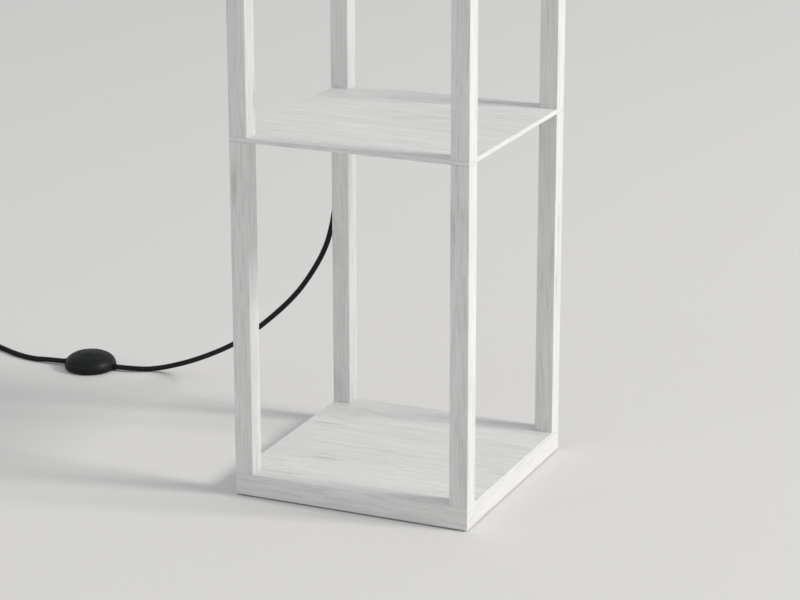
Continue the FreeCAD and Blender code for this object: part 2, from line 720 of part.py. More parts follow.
def canopy_screws():
    seat = deck_top + CANOPY_SHEET
    end = board_bottoms[-1] - SCREW_NUT_HEIGHT - SCREW_STICK_OUT
    screws = []
    for x, y in canopy_screw_places():
        screws.append(
            lathe(
                (
                    (0, end),
                    (SCREW_RADIUS, end),
                    (SCREW_RADIUS, seat),
                    (SCREW_HEAD_RADIUS, seat),
                    (SCREW_HEAD_RADIUS, seat + SCREW_HEAD_HEIGHT / 2),
                    crown(SCREW_HEAD_RADIUS, seat + SCREW_HEAD_HEIGHT / 2, SCREW_HEAD_HEIGHT / 2),
                ),
                V(x, y, 0),
            )
        )
    return Part.Compound(screws)


def canopy_nuts():
    nuts = []
    for x, y in canopy_screw_places():
        low = V(x, y, board_bottoms[-1] - SCREW_NUT_HEIGHT)
        nut = hexagon(SCREW_NUT_WIDTH, low.z, SCREW_NUT_HEIGHT, low)
        nuts.append(nut.cut(Part.makeCylinder(SCREW_RADIUS + FIT, SCREW_NUT_HEIGHT, low)))
    return Part.Compound(nuts)


def holder_nipple():
    low = nut_seat - LOCKNUT_HEIGHT - NIPPLE_TAIL
    return tube(NIPPLE_RADIUS, NIPPLE_BORE / 2, V(0, 0, low), holder_bottom + HOLDER_HUB_DEPTH - low)


def nipple_locknuts():
    nuts = []
    for z in (nut_seat - LOCKNUT_HEIGHT, canopy_top):
        nut = hexagon(LOCKNUT_WIDTH, z, LOCKNUT_HEIGHT)
        nuts.append(nut.cut(Part.makeCylinder(NIPPLE_RADIUS + FIT, LOCKNUT_HEIGHT, V(0, 0, z))))
    return Part.Compound(nuts)


def holder_cap():
    """Lower half of the lampholder, flared from the nipple's hub to the body."""
    hub_top = holder_bottom + HOLDER_HUB_DEPTH
    flare_low = hub_top - HOLDER_CAP_WALL
    flare_top = holder_joint - HOLDER_SPIGOT * 2
    inner = holder_radius - HOLDER_CAP_WALL
    return lathe(
        (
            (NIPPLE_RADIUS + FIT, holder_bottom),
            (HOLDER_HUB_RADIUS, holder_bottom),
            (HOLDER_HUB_RADIUS, flare_low),
            quarter_bulge(HOLDER_HUB_RADIUS, flare_low, holder_radius, flare_top),
            (holder_radius, holder_joint),
            (inner, holder_joint),
            (inner, flare_top),
            quarter_bulge(inner, flare_top, HOLDER_HUB_RADIUS, hub_top),
            (NIPPLE_RADIUS + FIT, hub_top),
        )
    )


def holder_body():
    """Upper half of the lampholder: spigot, shoulder for the shade, threaded skirt and a small lip."""
    inner = holder_radius - BODY_WALL
    spigot = holder_radius - HOLDER_CAP_WALL - FIT
    shoulder = holder_joint + SHOULDER_RISE
    return lathe(
        (
            (inner, holder_joint - HOLDER_SPIGOT),
            (spigot, holder_joint - HOLDER_SPIGOT),
            (spigot, holder_joint),
            (holder_radius, holder_joint),
            (holder_radius, shoulder),
            (holder_radius + SHOULDER_WIDTH, shoulder),
            (holder_radius + SHOULDER_WIDTH, shoulder_top),
            (holder_radius, shoulder_top),
            (holder_radius, holder_top),
            (insert_bore, holder_top),
            (insert_bore, holder_top - HOLDER_LIP),
            (inner, holder_top - HOLDER_LIP),
        )
    )


def holder_insert():
    """Insulating cup that carries the screw shell and the centre contact."""
    top = holder_top - HOLDER_LIP - INSERT_GAP
    return lathe(
        (
            (0, holder_joint - HOLDER_SPIGOT),
            (insert_radius, holder_joint - HOLDER_SPIGOT),
            (insert_radius, top),
            (insert_bore, top),
            (insert_bore, insert_floor),
            (0, insert_floor),
        )
    )


def screw_shell():
    outer = SHELL_BORE + SHELL_WALL
    return lathe(
        (
            (SHELL_LIP, insert_floor),
            (outer, insert_floor),
            (outer, insert_floor + SHELL_HEIGHT),
            (SHELL_BORE, insert_floor + SHELL_HEIGHT),
            (SHELL_BORE, insert_floor + SHELL_WALL),
            (SHELL_LIP, insert_floor + SHELL_WALL),
        )
    )


def centre_contact():
    """Sprung brass tongue, bent up from its foot to the middle of the holder."""
    foot = SHELL_LIP - 2.0
    low, top = insert_floor, contact_top
    tip, lean = CONTACT_TIP, CONTACT_SHEET / 2
    upper = [(-foot, low + CONTACT_SHEET), (-tip - lean, low + CONTACT_SHEET), (-lean, top), (tip, top)]
    lower = [(tip, top - CONTACT_SHEET), (lean, top - CONTACT_SHEET), (lean - tip, low), (-foot, low)]
    outline = Part.makePolygon([V(x, 0, z) for x, z in upper + lower + upper[:1]])
    solid = Part.Face(outline).extrude(V(0, CONTACT_WIDTH, 0))
    solid.translate(V(0, -CONTACT_WIDTH / 2, 0))
    return solid


# ---------------------------------------------------------------- bulb
def bulb_cap():
    tip_radius = bulb_cap_radius * 0.34
    return lathe(
        (
            (0, bulb_tip),
            (tip_radius, bulb_tip),
            (tip_radius, bulb_tip + 1.5),
            (bulb_cap_radius - 2.0, bulb_tip + 4.0),
            (bulb_cap_radius, bulb_tip + 5.5),
            (bulb_cap_radius, bulb_neck),
            (0, bulb_neck),
        )
    )


def bulb_housing():
    return lathe(
        (
            (0, bulb_neck),
            (bulb_cap_radius + 0.5, bulb_neck),
            (bulb_cap_radius + 0.7, bulb_neck + 3.0),
            (
                BULB_WAIST,
                bulb_neck + BULB_HOUSING_HEIGHT * 0.45,
                BULB_HOUSING_TOP,
                globe_seat,
            ),
            (0, globe_seat),
        )
    )


def bulb_globe():
    """Frosted dome, a thin hollow part sphere that sits on the housing."""
    seat = BULB_HOUSING_TOP - GLOBE_STEP
    middle = globe_seat + math.sqrt(GLOBE_RADIUS**2 - seat**2)
    hollow = GLOBE_RADIUS - GLOBE_WALL
    hollow_seat = math.sqrt(hollow**2 - (middle - globe_seat) ** 2)
    return lathe(
        (
            (seat, globe_seat),
            (GLOBE_RADIUS, middle, 0, middle + GLOBE_RADIUS),
            (0, middle + hollow),
            (hollow, middle, hollow_seat, globe_seat),
        )
    )


# ---------------------------------------------------------------- shade
def ring_wire_solid(z):
    path = rounded_square_wire(ring_line, SHADE_CORNER - (hem_face - ring_line), z)
    return tube_along(path, RING_WIRE)


def shade_carrier():
    """Welded spider: a flat ring over the lampholder, four arms and the lower square ring."""
    solid = tube(spider_rim, spider_bore, V(0, 0, shoulder_top), SPIDER_SHEET)
    arm_start_z = shoulder_top - ARM_WIRE / 3
    arm_end_z = lower_ring_z + RING_WIRE
    for quarter in range(4):
        turn = math.radians(90 * quarter)
        way = V(math.cos(turn), math.sin(turn), 0)
        start = way * (spider_rim - 2.5) + V(0, 0, arm_start_z)
        end = way * (ring_line - RING_WIRE / 2) + V(0, 0, arm_end_z)
        solid = solid.fuse(Part.makeCylinder(ARM_WIRE, (end - start).Length, start, end - start))
    return solid.fuse(ring_wire_solid(lower_ring_z))


def upper_shade_ring():
    return ring_wire_solid(upper_ring_z)


def panel_span():
    return shade_bottom + SHADE_SHEET, SHADE_HEIGHT - 2 * SHADE_SHEET


def shade_liner():
    z, height = panel_span()
    return square_tube(liner_face, SHADE_CORNER - 2 * SHADE_SHEET, SHADE_SHEET, z, height)


def shade_fabric():
    z, height = panel_span()
    return square_tube(fabric_face, SHADE_CORNER - SHADE_SHEET, SHADE_SHEET, z, height)


def shade_hems():
    """Tape folded round the lower and the upper edge, under or over the ring wire."""
    lip = hem_face - (ring_line - RING_WIRE)
    hems = []
    for edge, lip_z in ((shade_bottom, shade_bottom), (shade_top - HEM_HEIGHT, shade_top - SHADE_SHEET)):
        band = square_tube(hem_face, SHADE_CORNER, SHADE_SHEET, edge, HEM_HEIGHT)
        turned_in = square_tube(hem_face, SHADE_CORNER, lip, lip_z, SHADE_SHEET)
        hems.append(band.fuse(turned_in).removeSplitter())
    return Part.Compound(hems)


def shade_ring():
    """Threaded ring that clamps the spider on the lampholder's shoulder, with finger notches."""
    bore = holder_radius + SHADE_RING_ROOM
    collar = bore + SHADE_RING_WALL
    flange = collar + SHADE_RING_FLANGE_WIDTH
    low = spider_top + SHADE_RING_GAP
    flange_top = low + SHADE_RING_FLANGE_HEIGHT
    top = low + SHADE_RING_HEIGHT
    solid = lathe(
        (
            (bore, low),
            (flange, low),
            (flange, flange_top - EDGE_BREAK),
            (flange - EDGE_BREAK, flange_top),
            (collar, flange_top),
            (collar, top - EDGE_BREAK),
            (collar - EDGE_BREAK, top),
            (bore, top),
        )
    )
    for i in range(SHADE_RING_NOTCHES):
        turn = math.radians(360 / SHADE_RING_NOTCHES * i)
        place = V(math.cos(turn), math.sin(turn), 0) * (flange + NOTCH_RADIUS / 2)
        solid = solid.cut(Part.makeCylinder(NOTCH_RADIUS, SHADE_RING_HEIGHT, place + V(0, 0, low)))
    return solid


# ---------------------------------------------------------------- foot switch
switch_centre = V(SWITCH_X, SWITCH_Y, 0)
switch_way = V(math.cos(math.radians(SWITCH_TURN)), math.sin(math.radians(SWITCH_TURN)), 0)
floor_low = SWITCH_PAD_HEIGHT
floor_top = floor_low + SWITCH_FLOOR
cover_hole = BUTTON_RADIUS + BUTTON_ROOM
core_top = floor_top + CORE_HEIGHT
flange_top = SWITCH_HEIGHT - SWITCH_WALL - BUTTON_FLANGE_HEIGHT - BUTTON_ROOM
roof_low = SWITCH_HEIGHT - BUTTON_ROOF


def boss_places():
    turns = [math.radians(SWITCH_TURN + 90 + 120 * i) for i in range(3)]
    return [switch_centre + V(math.cos(t), math.sin(t), 0) * BOSS_CIRCLE for t in turns]


def gland_solids(radius, start, reach):
    """Short cylinders on the cord line, on both sides of the switch."""
    solids = []
    for way in (switch_way, switch_way * -1):
        low = switch_centre + way * start + V(0, 0, GLAND_HEIGHT)
        solids.append(Part.makeCylinder(radius, reach, low, way))
    return solids


def switch_pad():
    return tube(SWITCH_PAD_RADIUS, SWITCH_PAD_BORE, switch_centre, SWITCH_PAD_HEIGHT)


def switch_housing():
    inner = SWITCH_RADIUS - SWITCH_WALL
    solid = lathe(
        (
            (0, floor_low),
            (SWITCH_RADIUS - EDGE_BREAK, floor_low),
            (SWITCH_RADIUS, floor_low + EDGE_BREAK),
            (SWITCH_RADIUS, SWITCH_RIM),
            (inner, SWITCH_RIM),
            (inner, floor_top),
            (0, floor_top),
        ),
        switch_centre,
    )
    for hole in gland_solids(GLAND_RADIUS + FIT, SWITCH_RADIUS - 2 * SWITCH_WALL, 4 * SWITCH_WALL):
        solid = solid.cut(hole)
    for place in boss_places():
        low = place + V(0, 0, floor_low)
        solid = solid.cut(Part.makeCone(BOSS_SCREW_HEAD + FIT, BOSS_SCREW + FIT, SWITCH_FLOOR, low))
    return solid


def dome_profile(shrink):
    """Side of the cover from its rim to the button's hole: rim, a point on the way, edge of the hole."""
    rim = (SWITCH_RADIUS - shrink, SWITCH_RIM)
    knee_height = SWITCH_RIM + (SWITCH_HEIGHT - SWITCH_RIM) * SWITCH_KNEE_RISE
    knee = (SWITCH_RADIUS - SWITCH_KNEE_INSET - shrink * 0.75, knee_height - shrink * 0.7)
    return rim, knee, (cover_hole, SWITCH_HEIGHT - shrink)


def switch_cover():
    outer_rim, outer_knee, outer_edge = dome_profile(0)
    inner_rim, inner_knee, inner_edge = dome_profile(SWITCH_WALL)
    solid = lathe(
        (inner_rim, outer_rim, outer_knee + outer_edge, inner_edge, inner_knee + inner_rim),
        switch_centre,
    )
    filled = lathe(
        ((0, SWITCH_RIM), outer_rim, outer_knee + outer_edge, (0, SWITCH_HEIGHT)),
        switch_centre,
    )
    for place in boss_places():
        boss = Part.makeCylinder(BOSS_RADIUS, SWITCH_HEIGHT, place + V(0, 0, floor_top))
        above = boss.common(filled)
        below = Part.makeCylinder(BOSS_RADIUS, SWITCH_RIM - floor_top, place + V(0, 0, floor_top))
        solid = solid.fuse(above.fuse(below))
    for place in boss_places():
        pilot = Part.makeCylinder(BOSS_SCREW + FIT, BOSS_SCREW_LENGTH, place + V(0, 0, floor_low))
        solid = solid.cut(pilot)
    for hole in gland_solids(GLAND_RADIUS + FIT, SWITCH_RADIUS - 2 * SWITCH_WALL, 4 * SWITCH_WALL):
        solid = solid.cut(hole)
    return solid.removeSplitter()


def switch_button():
    """Round push button with a crown, a skirt, a flange under the cover and a stem."""
    top = SWITCH_HEIGHT
    inner = BUTTON_RADIUS - BUTTON_SKIRT
    stem_end = core_top + BUTTON_TRAVEL + STEM_GAP
    return lathe(
        (
            (0, stem_end),
            (STEM_RADIUS, stem_end),
            (STEM_RADIUS, roof_low),
            (inner, roof_low),
            (inner, flange_top),
            (BUTTON_FLANGE, flange_top),
            (BUTTON_FLANGE, flange_top + BUTTON_FLANGE_HEIGHT),
            (BUTTON_RADIUS, flange_top + BUTTON_FLANGE_HEIGHT),
            (BUTTON_RADIUS, top),
            crown(BUTTON_RADIUS, top, BUTTON_CROWN),
        ),
        switch_centre,
    )


def switch_core():
    """Latching switch module on the floor of the housing."""
    low_corner = V(-CORE_LENGTH / 2, -CORE_WIDTH / 2, floor_top)
    block = Part.makeBox(CORE_LENGTH, CORE_WIDTH, CORE_HEIGHT, low_corner)
    block = block.makeChamfer(EDGE_BREAK, block.Edges)
    block.rotate(V(0, 0, 0), UP, SWITCH_TURN)
    block.translate(switch_centre)
    return block


def switch_spring():
    """Compression spring between the core and the button's roof, round the stem."""
    low = core_top + SPRING_WIRE
    rise = roof_low - SPRING_WIRE - low

    def place(t):
        angle = 2 * math.pi * t
        height = low + rise * t / SPRING_TURNS
        return switch_centre + V(SPRING_RADIUS * math.cos(angle), SPRING_RADIUS * math.sin(angle), height)

    edges, _, _ = turns_path(place, SPRING_TURNS)
    return tube_along(Part.Wire(edges), SPRING_WIRE)


def switch_screws():
    screws = []
    for place in boss_places():
        screws.append(
            lathe(
                (
                    (0, floor_low),
                    (BOSS_SCREW_HEAD, floor_low),
                    (BOSS_SCREW, floor_top),
                    (BOSS_SCREW, floor_low + BOSS_SCREW_LENGTH - THREAD_SPARE),
                    (0, floor_low + BOSS_SCREW_LENGTH - THREAD_SPARE / 2),
                ),
                place,
            )
        )
    return Part.Compound(screws)


def switch_glands():
    start = SWITCH_RADIUS - GLAND_DEPTH
    return Part.Compound(gland_solids(GLAND_RADIUS, start, GLAND_DEPTH + GLAND_REACH))


# ---------------------------------------------------------------- free flex, coil and plug
def gland_face(side):
    """Middle of a gland's outer face; side is 1 towards the lamp and -1 away from it."""
    return switch_centre + switch_way * (side * (SWITCH_RADIUS + GLAND_REACH)) + V(0, 0, GLAND_HEIGHT)


def flex_to_switch():
    first = relief_tip + exit_way * FLEX_FIRST_RUN
    last = gland_face(1)
    before = last + switch_way * SWITCH_RUN
    return flex("flex_to_switch", [relief_tip, first] + list(FLEX_TO_SWITCH) + [before, last])


def flex_to_coil():
    first = gland_face(-1)
    after = first - switch_way * SWITCH_RUN
    start, start_way, _, _ = coil_ways()
    last = start - start_way * CORD
    before = last - start_way * COIL_RUN
    return flex("flex_to_coil", [first, after] + list(FLEX_TO_COIL) + [before, last])


def coil_place(t):
    """Middle of the flex t turns into the coil: in along the floor, up, and out again on top."""
    first_end = COIL_LAYER_TURNS
    climb_end = first_end + 0.5
    inner = COIL_OUTER - COIL_STEP * COIL_LAYER_TURNS
    if t <= first_end:
        radius = COIL_OUTER - COIL_STEP * t
        height = cord_radius
    elif t < climb_end:
        u = t - first_end
        radius = inner - COIL_STEP * u + 2 * COIL_STEP * u * u
        share = 2 * u
        height = cord_radius + COIL_STEP * share * share * (3 - 2 * share)
    else:
        radius = inner + COIL_STEP * (t - climb_end)
        height = cord_radius + COIL_STEP
    angle = math.radians(90) + 2 * math.pi * t
    return V(COIL_X + radius * math.cos(angle), COIL_Y + radius * math.sin(angle), height)


coil_turns = 2 * COIL_LAYER_TURNS + 0.5


def coil_ways():
    """Ends of the coil's turns and the directions in which the flex runs there."""
    return coil_place(0), way_at(coil_place, 0), coil_place(coil_turns), way_at(coil_place, coil_turns)


def coil_end():
    _, _, end, end_way = coil_ways()
    return end + end_way * CORD


def cord_coil():
    """The rest of the flex, wound flat in two layers as one unbroken tube."""
    edges, (start, start_way), (end, end_way) = turns_path(coil_place, coil_turns)
    lead_in = Part.LineSegment(start - start_way * CORD, start).toShape()
    lead_out = Part.LineSegment(end, end + end_way * CORD).toShape()
    path = Part.Wire([lead_in] + edges + [lead_out])
    flat_to_corner = 1 / math.cos(math.pi / TUBE_SIDES)
    solid = tube_along(path, cord_radius * flat_to_corner)
    print("cord_coil length", round(path.Length, 1), "least gap to itself", round(coil_gap(), 2))
    return solid


def coil_gap():
    """Least distance between two turns of the coil, less the flex's diameter."""
    steps = 120
    points = [coil_place(i / steps) for i in range(round(coil_turns * steps) + 1)]
    least = min(
        (a - b).Length
        for i, a in enumerate(points)
        for b in points[i + steps // 2 :]
    )
    return least - CORD


plug_height = PLUG_THICKNESS / 2


def plug_start():
    """Middle of the flex where it enters the plug's tail, a little to the outside of the coil's end."""
    return V(coil_end().x - PLUG_DRIFT, COIL_Y + PLUG_LINE, plug_height)


def flex_to_plug():
    start, end = coil_end(), plug_start()
    third = (start.y - end.y) / 3
    _, _, _, start_way = coil_ways()
    points = [start, start + start_way * third, end + V(0, third, 0), end]
    return flex("flex_to_plug", points)


def plug_section(width, thickness, y):
    """Upright rectangle with cut corners across the plug."""
    x = plug_start().x
    corner = thickness * PLUG_CORNER
    z = plug_height
    box = Part.makeBox(width, 1, thickness, V(x - width / 2, y, z - thickness / 2))
    cut = box.makeChamfer(corner, [e for e in box.Edges if abs(e.BoundBox.YLength - 1) < SMALL])
    face = [f for f in cut.Faces if abs(f.CenterOfMass.y - y) < SMALL][0]
    return face.OuterWire


def plug_body():
    """Flat two-pin plug with a tapered tail round the flex."""
    start = plug_start()
    root = start.y - PLUG_TAIL
    nose = root - PLUG_LENGTH
    tail = Part.makeCone(PLUG_TAIL_TIP, PLUG_TAIL_ROOT, PLUG_TAIL, start, ALONG_Y * -1)
    shoulder = Part.makeLoft(
        [
            plug_section(2 * PLUG_TAIL_ROOT + 1, 2 * PLUG_TAIL_ROOT, root),
            plug_section(PLUG_WIDTH, PLUG_THICKNESS, root - PLUG_LENGTH * 0.4),
        ],
        True,
        True,
    )
    body = Part.makeLoft(
        [
            plug_section(PLUG_WIDTH, PLUG_THICKNESS, root - PLUG_LENGTH * 0.4),
            plug_section(PLUG_NOSE_WIDTH, PLUG_NOSE_THICKNESS, nose),
        ],
        True,
        True,
    )
    solid = tail.fuse(shoulder).fuse(body)
    for x in pin_lines():
        hole = Part.makeCylinder(PIN_RADIUS, PIN_DEPTH, V(x, nose, plug_height), ALONG_Y)
        solid = solid.cut(hole)
    return solid.removeSplitter()


def pin_lines():
    x = plug_start().x
    return (x - PIN_SPACING / 2, x + PIN_SPACING / 2)


def plug_pins():
    nose = plug_start().y - PLUG_TAIL - PLUG_LENGTH
    pins = []
    for x in pin_lines():
        root = V(x, nose + PIN_DEPTH, plug_height)
        pin = Part.makeCylinder(PIN_RADIUS, PIN_LENGTH + PIN_DEPTH, root, ALONG_Y * -1)
        tip = [e for e in pin.Edges if e.Curve.TypeId == "Part::GeomCircle" and e.CenterOfMass.y < nose - 1]
        pins.append(pin.makeChamfer(PIN_RADIUS / 2, tip))
    return Part.Compound(pins)


# ---------------------------------------------------------------- all nodes
NODES = {
    "base_board": base_board,
    "foot_pads": foot_pads,
    "base_bolts": base_bolts,
    "post_inserts": post_inserts,
    "joint_studs": joint_studs,
    "deck_bolts": deck_bolts,
    "wire_inserts": wire_inserts,
    "wire_nipples": wire_nipples,
    "shelf_lower": lambda: shelf(board_bottoms[0]),
    "shelf_middle": lambda: shelf(board_bottoms[1]),
    "lamp_deck": lamp_deck,
    "deck_bushing": deck_bushing,
    "cord_relief": cord_relief,
    "inner_lead": inner_lead,
    "lamp_canopy": lamp_canopy,
    "canopy_screws": canopy_screws,
    "canopy_nuts": canopy_nuts,
    "holder_nipple": holder_nipple,
    "nipple_locknuts": nipple_locknuts,
    "holder_cap": holder_cap,
    "holder_body": holder_body,
    "holder_insert": holder_insert,
    "screw_shell": screw_shell,
    "centre_contact": centre_contact,
    "bulb_cap": bulb_cap,
    "bulb_housing": bulb_housing,
    "bulb_globe": bulb_globe,
    "shade_carrier": shade_carrier,
    "upper_shade_ring": upper_shade_ring,
    "shade_liner": shade_liner,
    "shade_fabric": shade_fabric,
    "shade_hems": shade_hems,
    "shade_ring": shade_ring,
    "switch_pad": switch_pad,
    "switch_housing": switch_housing,
    "switch_cover": switch_cover,
    "switch_button": switch_button,
    "switch_core": switch_core,
    "switch_spring": switch_spring,
    "switch_screws": switch_screws,
    "switch_glands": switch_glands,
    "flex_to_switch": flex_to_switch,
    "flex_to_coil": flex_to_coil,
    "cord_coil": cord_coil,
    "flex_to_plug": flex_to_plug,
    "plug_body": plug_body,
    "plug_pins": plug_pins,
}


def main():
    os.makedirs("parts", exist_ok=True)
    shapes = {name: make() for name, make in NODES.items()}
    for level, section in enumerate(SECTIONS):
        for corner in CORNERS:
            made = wired_post(level) if corner == WIRED else plain_post(level, corner)
            shapes["post_%s_%s" % (section, corner)] = made
    for name, shape in shapes.items():
        if not shape.isValid() or not shape.Solids:
            print("PROBLEM", name)
        shape.exportStep("parts/%s.step" % name)
    print(len(shapes), "nodes")


main()
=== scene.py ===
import math

import bmesh
import bpy
from mathutils import Matrix, Vector


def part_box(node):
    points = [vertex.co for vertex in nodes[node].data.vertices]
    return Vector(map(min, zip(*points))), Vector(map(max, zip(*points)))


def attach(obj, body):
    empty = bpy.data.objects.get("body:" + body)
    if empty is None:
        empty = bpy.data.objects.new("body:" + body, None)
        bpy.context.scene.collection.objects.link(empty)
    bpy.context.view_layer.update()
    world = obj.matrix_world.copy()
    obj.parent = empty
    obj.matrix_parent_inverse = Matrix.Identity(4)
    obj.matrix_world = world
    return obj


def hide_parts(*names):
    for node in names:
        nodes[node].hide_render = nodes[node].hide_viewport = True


# Sizes are in metres: +Z up, the front of the lamp towards -Y, its right towards +X.

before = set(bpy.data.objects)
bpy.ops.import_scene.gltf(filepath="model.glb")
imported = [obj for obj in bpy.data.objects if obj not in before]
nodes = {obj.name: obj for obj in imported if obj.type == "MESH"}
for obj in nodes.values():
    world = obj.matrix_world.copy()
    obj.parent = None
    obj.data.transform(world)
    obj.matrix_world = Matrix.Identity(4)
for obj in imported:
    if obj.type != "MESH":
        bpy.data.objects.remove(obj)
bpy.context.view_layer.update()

# ---------------------------------------------------------------- camera, light and floor
CAMERA_PLACE = (1.0742, -2.4437, 1.0219)
CAMERA_TURN = 23.74  # degrees to the left of the way straight in from the front
CAMERA_DIP = 17.284  # degrees below level
CAMERA_ROLL = -0.088  # degrees
SENSOR = 36.0  # millimetres, as the lens is
LENS = 120.5

LIGHT_TARGET = (0, 0, 0.5)
KEY_PLACE = (9.8, 1.0, 6.4)
KEY_POWER = 985.0
KEY_SIZE = 3.0
KEY_COLOR = (1.0, 0.975, 0.945)
FILL_PLACE = (-3.2, -6.8, 4.0)
FILL_POWER = 36.0
FILL_SIZE = 5.0
FILL_COLOR = (1.0, 1.0, 1.0)
WORLD_LIGHT = 0.56
WORLD_COLOR = (0.975, 0.985, 1.0)
FLOOR_SIZE = 40.0
FLOOR_COLOR = (0.72, 0.715, 0.705)
FLOOR_ROUGHNESS = 0.75

# ---------------------------------------------------------------- colours of the finishes
WOOD_TINTS = ((0.80, 0.80, 0.795), (0.81, 0.81, 0.805), (0.79, 0.79, 0.785), (0.80, 0.80, 0.79))
COATED_WHITE = (0.79, 0.79, 0.78)
HOLDER_WHITE = (0.78, 0.775, 0.75)
BULB_WHITE = (0.80, 0.80, 0.79)
OPAL_WHITE = (0.84, 0.835, 0.815)
BACKING_WHITE = (0.82, 0.81, 0.785)
LINEN_COLOR = (0.78, 0.755, 0.71)
RUBBER_BLACK = (0.008, 0.008, 0.0085)
SATIN_BLACK = (0.0072, 0.0085, 0.0092)
FLEX_BLACK = (0.0055, 0.0052, 0.0050)
FLEX_WORN = (0.0095, 0.0090, 0.0088)
FELT_DARK = (0.055, 0.054, 0.052)
FELT_LIGHT = (0.13, 0.128, 0.122)
ZINC = (0.62, 0.63, 0.645)
NICKEL = (0.70, 0.68, 0.64)
BRASS = (0.78, 0.58, 0.28)
SPRING_STEEL = (0.56, 0.57, 0.58)
CERAMIC = (0.76, 0.74, 0.68)

# wood grain: how often each pattern changes in a metre, along the grain and across it
GRAIN_SWAY = (3.0, 16.0)
GRAIN_BANDS = (3.4, 74.0)
GRAIN_STREAKS = (17.0, 460.0)
GRAIN_PORES = (55.0, 1700.0)
GRAIN_KNOTS = (7.0, 42.0)
SWAY_REACH = 0.030

# linen: from thread to thread, and the thicker threads' pattern along and across themselves
WARP_PITCH = 0.0009
WEFT_PITCH = 0.0010
THREAD_PULL = 0.0012  # how far a thread wanders from its line
SLUB_ALONG = 14.0
SLUB_ACROSS = 950.0

# ---------------------------------------------------------------- general sizes
SIDES = 64  # sides of a turned piece
FINE_SIDES = 96
SLEEVE_SIDES = 40  # of a ribbed sleeve round the flex
THIN_SIDES = 32  # of a screw, a pin or a hole
MERGE = 1e-5
SMOOTH_ANGLE = math.radians(32)
EDGE = 0.0003  # how far a moulded or pressed edge is broken
SLEEVE_STEP = 0.0002  # between the end of a ribbed sleeve and its taper
NIPPLE_HOLE = 0.00515
UP = Vector((0, 0, 1))
MIDDLE = Vector((0, 0, 0))

# ---------------------------------------------------------------- flex
CORD = 0.006
EXIT_SLANT = math.radians(30)
EXIT_DROP = 0.0435
RELIEF_REACH = 0.018
RELIEF_ROOT = 0.0056
RELIEF_TIP = 0.0042
RELIEF_SPREAD = 0.001  # how much wider than its root the taper starts, and the plate is
RELIEF_SINK = 0.012  # how far inside the post the taper starts, before it is cut off at the post's face
RELIEF_FOOT = 0.0035  # plain stretch before the ribs
RELIEF_END = 0.001  # plain stretch after them
RELIEF_RIBS = 5
RELIEF_GROOVE = 0.0009
RELIEF_RIB = (0.38, 0.42, 1.0)  # ends of groove, slope and rib, as shares of a span
RELIEF_CREST = 0.0001
RELIEF_EDGE = 0.00018
RELIEF_PLATE = 0.002
PLATE_EDGE = 0.0005
PLATE_ROUNDING = 0.96  # of the plate's corners, as a share of its half width
TRIM_LOW = (-0.2, -0.02, 0.2)  # low corner of the block that trims off what is inside the post
TRIM_RIGHT = 0.0
TRIM_TOP = 0.5
RELIEF_BORE_ROOM = 0.00015
RELIEF_BORE_REACH = 0.03  # to both sides of the post's face
SWITCH_PLACE = Vector((-0.476, 0.168, 0.0))
SWITCH_TURN = math.radians(5)
SWITCH_WAY = Vector((math.cos(SWITCH_TURN), math.sin(SWITCH_TURN), 0))
SWITCH_RUN = 0.019
FLEX_FIRST_RUN = 0.011
FLEX_TO_SWITCH = (
    (-0.1240, 0.1470, 0.2860),
    (-0.1323, 0.1434, 0.2632),
    (-0.1394, 0.1382, 0.2432),
    (-0.1435, 0.1380, 0.2190),
    (-0.1524, 0.1394, 0.1920),
    (-0.1710, 0.1415, 0.1602),
    (-0.1960, 0.1454, 0.1276),
    (-0.2396, 0.1508, 0.0875),
    (-0.2826, 0.1655, 0.0552),
    (-0.3310, 0.1790, 0.0290),
    (-0.3680, 0.1890, 0.0124),
    (-0.4020, 0.1860, 0.0026),
)
FLEX_TO_COIL = (
    (-0.5530, 0.1630, 0.0030),
    (-0.5800, 0.1700, 0.0030),
    (-0.6070, 0.1830, 0.0030),
)
COIL_MIDDLE = Vector((-0.660, 0.150, 0.0))
COIL_OUTER = 0.0438
COIL_STEP = 0.0066
COIL_LAYER_TURNS = 2.875
COIL_TURNS = 2 * COIL_LAYER_TURNS + 0.5
COIL_POINTS = 16  # route points in each turn
COIL_RUN = 0.022

# the lead inside the lamp: (along the deck from the wired post, above the deck)
LEAD_ARCH = ((0.0, 0.020), (0.012, 0.038), (0.040, 0.040), (0.066, 0.024))
LEAD_LANDING = 0.084
LEAD_LEVEL = 0.0048
LEAD_EASE = 0.012  # between a knee of the lead and the points beside it
LEAD_STRAIGHT = 0.05  # from the ends of the hollow column to the points inside it
LEAD_RISE = 0.008
LEAD_END = 0.015

# ---------------------------------------------------------------- foot switch
SWITCH_RADIUS = 0.0305
SWITCH_PAD_TOP = 0.001
SWITCH_FLOOR_TOP = 0.0028
SWITCH_RIM = 0.005
SWITCH_TOP = 0.0192
SWITCH_WALL = 0.0016
TRAY_FOOT = ((0.0022, 0.0), (0.0009, 0.0004), (0.0002, 0.0014), (0.0, 0.0024))  # (in, up), from its corner
COVER_KNEE = (0.0008, 0.0035)  # (in from the rim, down from the top)
COVER_LIP = 0.0016  # width of the raised lip round the button
PARTING = 0.0007  # depth of the parting line between tray and cover
BUTTON_RADIUS = 0.0129
BUTTON_CROWN = 0.0022
BUTTON_WALL = 0.0014
BUTTON_ROOF = 0.0172
BUTTON_FLANGE = 0.015
BUTTON_FLANGE_LOW = 0.0158
BUTTON_FLANGE_SHEET = 0.0015
BUTTON_GROOVE = 0.76  # place of the ring groove, as a share of the button's radius
GROOVE_DEPTH = 0.0004
GROOVE_HALF = 0.0003  # half its width at the bottom; at its edges it is twice as wide
STEM_RADIUS = 0.004
STEM_LOW = 0.0118
COVER_HOLE = BUTTON_RADIUS + 0.0003
GLAND_RADIUS = 0.0038
GLAND_REACH = 0.0025
